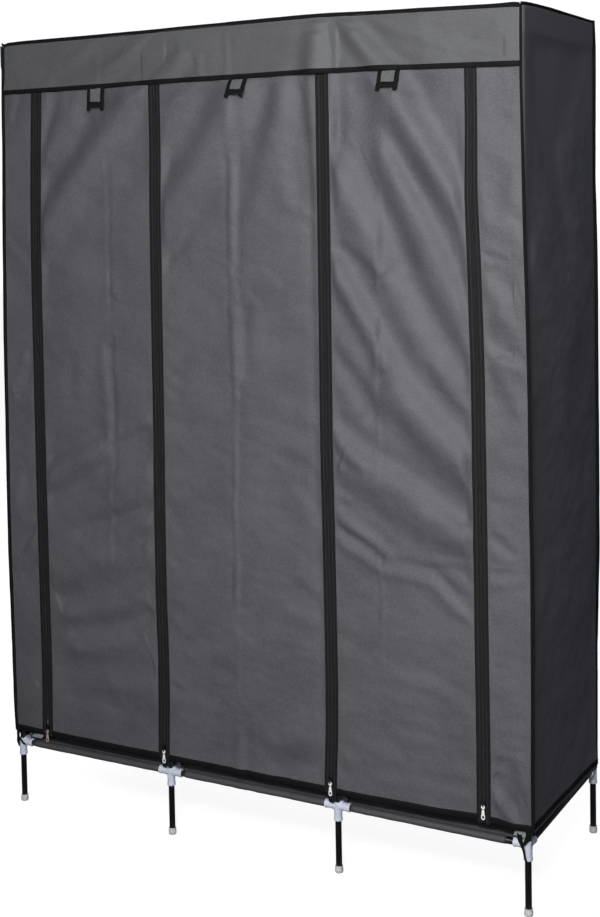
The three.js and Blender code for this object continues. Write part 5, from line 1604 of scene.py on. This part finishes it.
# front left corner
ribbon("ribbon_left_a", [(-620.5, -207.2, 178), (-621.0, -207.0, 165), (-621.2, -206.8, 152), (-622.2, -206.4, 142), (-619.6, -206.0, 131)], (1, 0, 0), [3.9, 4.2, 4.0, 4.2, 1.4])
ribbon("ribbon_left_c", [(-623.0, -196, 170), (-622.6, -183, 160), (-620.0, -170, 148), (-614.0, -160, 133)], (0, 1, 0.1), [9, 13, 14, 9])
ribbon("ribbon_left_b", [(-621.0, -206.5, 158), (-616.0, -207.4, 150), (-608.0, -206.6, 141.0), (-604.0, -204.0, 136.5)], (0.5, 0, 0.86), [1.8, 2.4, 2.4, 2.2])
# the corner flap is the much lighter copy of the shelf cloth: painted light
flap("shelf_corner_left", [(-585, -203.5, 158.5), (-557, -204, 158.0), (-540, -202.5, 174), (-571, -201.5, 174)], 1.0, SHELF_CORNER_PAINTED_LIGHT)


# ---------------------------------------------------------------- roll-up tabs

def tab(i, x, tilt):
    """A tab sewn under the valance binding: a doubled cloth with black binding on both sides and a bar across."""
    name = BAYS[i]
    a = math.radians(tilt)
    o = np.array((x, OUT_F - 2.5, 1641.0))
    down = np.array((0, -math.sin(a), -math.cos(a)))
    out = np.array((0, -math.cos(a), math.sin(a)))
    side = np.array((1.0, 0, 0))
    L, W = (51.5, 43.5, 46.5)[i], (21.8, 21.2, 22.6)[i]
    bar = (39.0, 32.5, 35.0)[i]
    sgn = (0.0, -0.075, 0.02)[i]

    def pt(u, s, h):
        """u across, s down its length, h off its face."""
        curl = 0.9 * math.sin(3.0 * s / L) if i else 0.4 * math.sin(3.0 * s / L)
        lean = side * (u + sgn * s)
        return o + lean + down * s + out * (h + curl)

    b = Build()
    us, ss = np.linspace(-W + 3, W - 3, 17), np.linspace(3.5, bar + 2.0, 20)
    P = np.array([[pt(u, s, 0.9 + 0.35 * math.sin(u * 0.35) * math.sin(s * 0.2)) for u in us] for s in ss[::-1]])
    add_sheet(b, P, 1.5, mat=0)
    # the tab's cloth is the lighter copy of the grey cloth: painted light
    ob = b.obj(f"tab_cloth_{name}", [TAB_CLOTH_PAINTED_LIGHT])
    place(ob, f"roll_tab_{name}", f"roll_tab_{name}", slot="cloth_grey")
    b = Build()
    for sg in (-1, 1):
        path = np.array([pt(sg * (W - 4.0) + 0.4 * math.sin(s * 0.21 + i), s, 0.5) for s in np.linspace(-3, L, 26)])
        d = np.tile(side, (len(path), 1))
        prof = round_profile(-4.5, 4.5, 3.2, 5)
        wv = np.stack([prof * np.array((1 + 0.03 * math.sin(k * 0.9 + i), 1.0)) for k in range(len(path))])
        du, dv, _ = axes(path, d)
        add_sweep(b, path, du, dv, wv, 1)
        for off in (-3.0, 3.0):
            add_stitches(b, path + side * off + out * 1.6, out, 3.0, 2.1, 0.5, 0.3, mat=2)
    path = np.array([pt(u, bar + 0.4 * math.sin(u * 0.2), 1.7) for u in np.linspace(-W + 1.5, W - 1.5, 26)])
    du, dv, _ = axes(path, down)
    add_sweep(b, path, du, dv, round_profile(-5.9, 5.9, 2.6, 5), 1)
    for off in (-4.3, 4.3):
        add_stitches(b, path + down * off + out * 1.4, out, 3.0, 2.1, 0.5, 0.3, mat=2)
    path = np.array([pt(u, -1.0, 1.4) for u in np.linspace(-W, W, 20)])
    du, dv, _ = axes(path, down)
    add_sweep(b, path, du, dv, round_profile(-2.4, 2.4, 1.8, 4), 1)
    ob = b.obj(f"tab_binding_{name}", [TAB_CLOTH_PAINTED_LIGHT, TRIM, THREAD])
    place(ob, f"roll_tab_{name}", f"roll_tab_{name}", slot="cloth_trim_black")


for i, (x, tilt) in enumerate(zip((-355.0, 7.0, 350.0), (4, 25, 25))):
    tab(i, x, tilt)


# ---------------------------------------------------------------- zip sliders and pulls

def outline_mesh(outer, holes, half, bevel, res=2):
    """A flat shape with holes, with rounded edges: vertices and faces, in millimetres, its face towards +z."""
    cu = bpy.data.curves.new("outline", "CURVE")
    cu.dimensions = "2D"
    cu.fill_mode = "BOTH"
    for pts in [outer] + list(holes):
        sp = cu.splines.new("POLY")
        sp.points.add(len(pts) - 1)
        for p, (x, y) in zip(sp.points, pts):
            p.co = (x * 0.001, y * 0.001, 0, 1)
        sp.use_cyclic_u = True
    cu.extrude = (half - bevel) * 0.001
    cu.bevel_depth = bevel * 0.001
    cu.bevel_resolution = res
    cu.offset = -bevel * 0.001
    ob = bpy.data.objects.new("outline", cu)
    bpy.context.scene.collection.objects.link(ob)
    deps = bpy.context.evaluated_depsgraph_get()
    me = bpy.data.meshes.new_from_object(ob.evaluated_get(deps))
    v = np.array([tuple(x.co) for x in me.vertices]) * 1000
    q = [list(p.vertices) for p in me.polygons if len(p.vertices) == 4]
    t = [list(p.vertices) for p in me.polygons if len(p.vertices) == 3]
    bpy.data.objects.remove(ob, do_unlink=True)
    bpy.data.meshes.remove(me)
    bpy.data.curves.remove(cu)
    return v, np.array(q, np.int64).reshape(-1, 4), np.array(t, np.int64).reshape(-1, 3)


def weld(v, q, t):
    """Joins the vertices that fall together."""
    key = np.round(v, 3)
    _, first, inv = np.unique(key, axis=0, return_index=True, return_inverse=True)
    inv = inv.ravel()
    return v[first], inv[q] if len(q) else q, inv[t] if len(t) else t


def oval(cx, cy, rx, ry, n=24, a0=0.0, a1=2 * math.pi, cw=False):
    a = np.linspace(a0, a1, n, endpoint=abs(a1 - a0) < 6)
    p = [(cx + rx * math.cos(t), cy + ry * math.sin(t)) for t in a]
    return p[::-1] if cw else p


# the slider's face: wide shoulders at the top, narrower at the bottom
face = []
for px, py in ((-4.0, -8.2), (4.0, -8.2), (5.0, -6.5), (4.4, -3.0), (4.5, 0.5), (5.4, 4.0), (5.5, 6.8), (4.2, 8.3), (0, 8.5),
               (-4.2, 8.3), (-5.5, 6.8), (-5.4, 4.0), (-4.5, 0.5), (-4.4, -3.0), (-5.0, -6.5)):
    face.append((px, py))
SLIDER_FACE = weld(*outline_mesh(face, [], 1.25, 0.55, 3))
# the pull: an eye at the top, a narrow neck, a long oval with a hole at its lower end; its top is at 0 and it hangs to -30
left = [(0.9, -8.7), (0.9, -10.3), (2.6, -11.4), (2.7, -12.4), (2.9, -15.0), (3.2, -18.5), (3.9, -21.6), (4.2, -25.2), (3.6, -28.0), (2.0, -29.7), (0.6, -30.0)]
body_r = [(3.75 * math.cos(a), -4.6 + 4.3 * math.sin(a)) for a in np.linspace(-math.pi / 2 + 0.3, math.pi / 2, 14)]
right_side = body_r[::-1] + left
outer = right_side + [(-x, y) for x, y in right_side[::-1] if abs(x) > 1e-6]
outer = outer[::-1]
PULL = weld(*outline_mesh(outer, [oval(0, -2.6, 1.5, 0.9, 18, cw=True), oval(0, -24.4, 2.3, 2.9, 22, cw=True)], 0.75, 0.34, 3))


def slider(k):
    zn = ZIPS[k]
    lo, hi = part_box(f"zip_slider_{zn}")
    c = (np.array(lo) + np.array(hi)) * 500
    zc = c[2]
    x = c[0]
    b = Build()
    v, q, t = SLIDER_FACE
    up = np.stack([v[:, 0] + x, -v[:, 2] - 207.6, v[:, 1] + zc], -1)
    b.add(up, q, t)
    under = np.stack([v[:, 0] + x, -v[:, 2] - 203.9, v[:, 1] + zc], -1)
    b.add(under, q, t)
    # the post between the two plates, and the bail that holds the pull
    add_boxes(b, [(x, -205.8, zc + 5.6)], [(1.6, 0, 0)], [(0, 0, 1.6)], [(0, -1.6, 0)], taper=1.0)
    arc = np.array([(x, -208.2 - 4.1 * math.sin(a) ** 0.7 if math.sin(a) > 0 else -208.2, zc + 5.4 * math.cos(a))
                    for a in np.linspace(0, math.pi, 19)])
    du, dv, _ = axes(arc, (1, 0, 0))
    add_sweep(b, arc, du, dv, round_profile(-1.35, 1.35, 1.25, 4))
    # side flanges
    for sg in (-1, 1):
        p = np.array([(x + sg * 4.9, -205.9, zc + z) for z in (-7.2, -3.0, 2.0, 6.4)])
        p[:, 0] += sg * np.array((-0.3, -0.9, -0.6, 0.1))
        du, dv, _ = axes(p, (0, -1, 0))
        add_sweep(b, p, du, dv, round_profile(-1.5, 1.5, 0.9, 3))
    ob = b.obj(f"slider_{zn}", [SLIDER_BLACK], sharp=60)
    place(ob, f"zip_slider_{zn}", f"zip_slider_{zn}", slot="zip_steel")
    # the pull hangs from the bail on the joint's axis
    lo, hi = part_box(f"zip_pull_{zn}")
    top = hi[2] * 1000
    yc = (lo[1] + hi[1]) * 500
    v, q, t = PULL
    b = Build()
    b.add(np.stack([v[:, 0] + (lo[0] + hi[0]) * 500, -v[:, 2] + yc, v[:, 1] + top], -1), q, t)
    ob = b.obj(f"pull_{zn}", [COPPER if k == 0 else NICKEL_PAINTED_REFLECTION], sharp=60)
    place(ob, f"zip_pull_{zn}", f"zip_pull_{zn}", slot="zip_steel")


for k in range(4):
    slider(k)


# ---------------------------------------------------------------- light and floor

def lights():
    sc = bpy.context.scene
    sc.view_settings.view_transform = "Standard"
    sc.view_settings.look = "None"
    sc.view_settings.exposure = 0.0
    w = bpy.data.worlds.new("studio")
    sc.world = w
    w.use_nodes = True
    nt = w.node_tree
    nt.nodes.clear()
    out = nt.nodes.new("ShaderNodeOutputWorld")
    mix = nt.nodes.new("ShaderNodeMixShader")
    lp = nt.nodes.new("ShaderNodeLightPath")
    dim = nt.nodes.new("ShaderNodeBackground")
    dim.inputs["Color"].default_value = (0.135, 0.143, 0.172, 1)
    dim.inputs["Strength"].default_value = 1.0
    seen = nt.nodes.new("ShaderNodeBackground")
    seen.inputs["Color"].default_value = (1, 1, 1, 1)
    seen.inputs["Strength"].default_value = 1.05
    nt.links.new(lp.outputs["Is Camera Ray"], mix.inputs[0])
    nt.links.new(dim.outputs[0], mix.inputs[1])
    nt.links.new(seen.outputs[0], mix.inputs[2])
    nt.links.new(mix.outputs[0], out.inputs["Surface"])

    def area(name, place_, look, size, power, colour=(1, 1, 1)):
        d = bpy.data.lights.new(name, "AREA")
        d.shape = "SQUARE"
        d.size = size
        d.energy = power
        d.color = colour
        o = bpy.data.objects.new(name, d)
        sc.collection.objects.link(o)
        o.location = place_
        o.rotation_euler = (Vector(look) - Vector(place_)).to_track_quat("-Z", "Y").to_euler()
        o.visible_camera = False
        return o

    area("key", (1.0, -2.3, 2.05), (1.0, 0.0, 2.05), 0.8, 76.0, (0.985, 1.0, 0.985))
    area("fill_left", (-0.9, -2.6, 1.1), (-0.5, 0.0, 0.9), 0.8, 8.2, (1.0, 0.985, 1.0))
    area("low_fill", (0.4, -1.6, 0.35), (0.25, 0.0, 0.5), 0.6, 6.4, (1.0, 0.985, 1.0))
    area("side_fill", (2.9, -0.7, 0.5), (0.62, 0.0, 0.65), 0.9, 2.6, (0.93, 0.96, 1.0))
    area("back_fill", (-2.6, 3.2, 2.6), (0, 0, 0.9), 1.8, 70.0, (0.95, 0.97, 1.0))

    m, nt, p = material("floor_pale")
    p.inputs["Roughness"].default_value = 0.9
    p.inputs["Specular IOR Level"].default_value = 0.05
    lp = nt.nodes.new("ShaderNodeLightPath")
    tone = mix_colour(nt, lp.outputs["Is Camera Ray"], (0.14, 0.14, 0.145), (0.30, 0.30, 0.30))
    nt.links.new(tone, p.inputs["Base Color"])
    em = nt.nodes.new("ShaderNodeEmission")
    em.inputs["Color"].default_value = (1, 1, 1, 1)
    glow = math_node(nt, "MULTIPLY", lp.outputs["Is Camera Ray"], 0.90)
    nt.links.new(glow, em.inputs["Strength"])
    add = nt.nodes.new("ShaderNodeAddShader")
    nt.links.new(p.outputs[0], add.inputs[0])
    nt.links.new(em.outputs[0], add.inputs[1])
    nt.links.new(add.outputs[0], nt.nodes["Material Output"].inputs["Surface"])
    me = bpy.data.meshes.new("floor")
    s = 14.0
    me.from_pydata([(-s, -s, 0), (s, -s, 0), (s, s, 0), (-s, s, 0)], [], [(0, 1, 2, 3)])
    me.materials.append(m)
    fl = bpy.data.objects.new("floor", me)
    sc.collection.objects.link(fl)


lights()
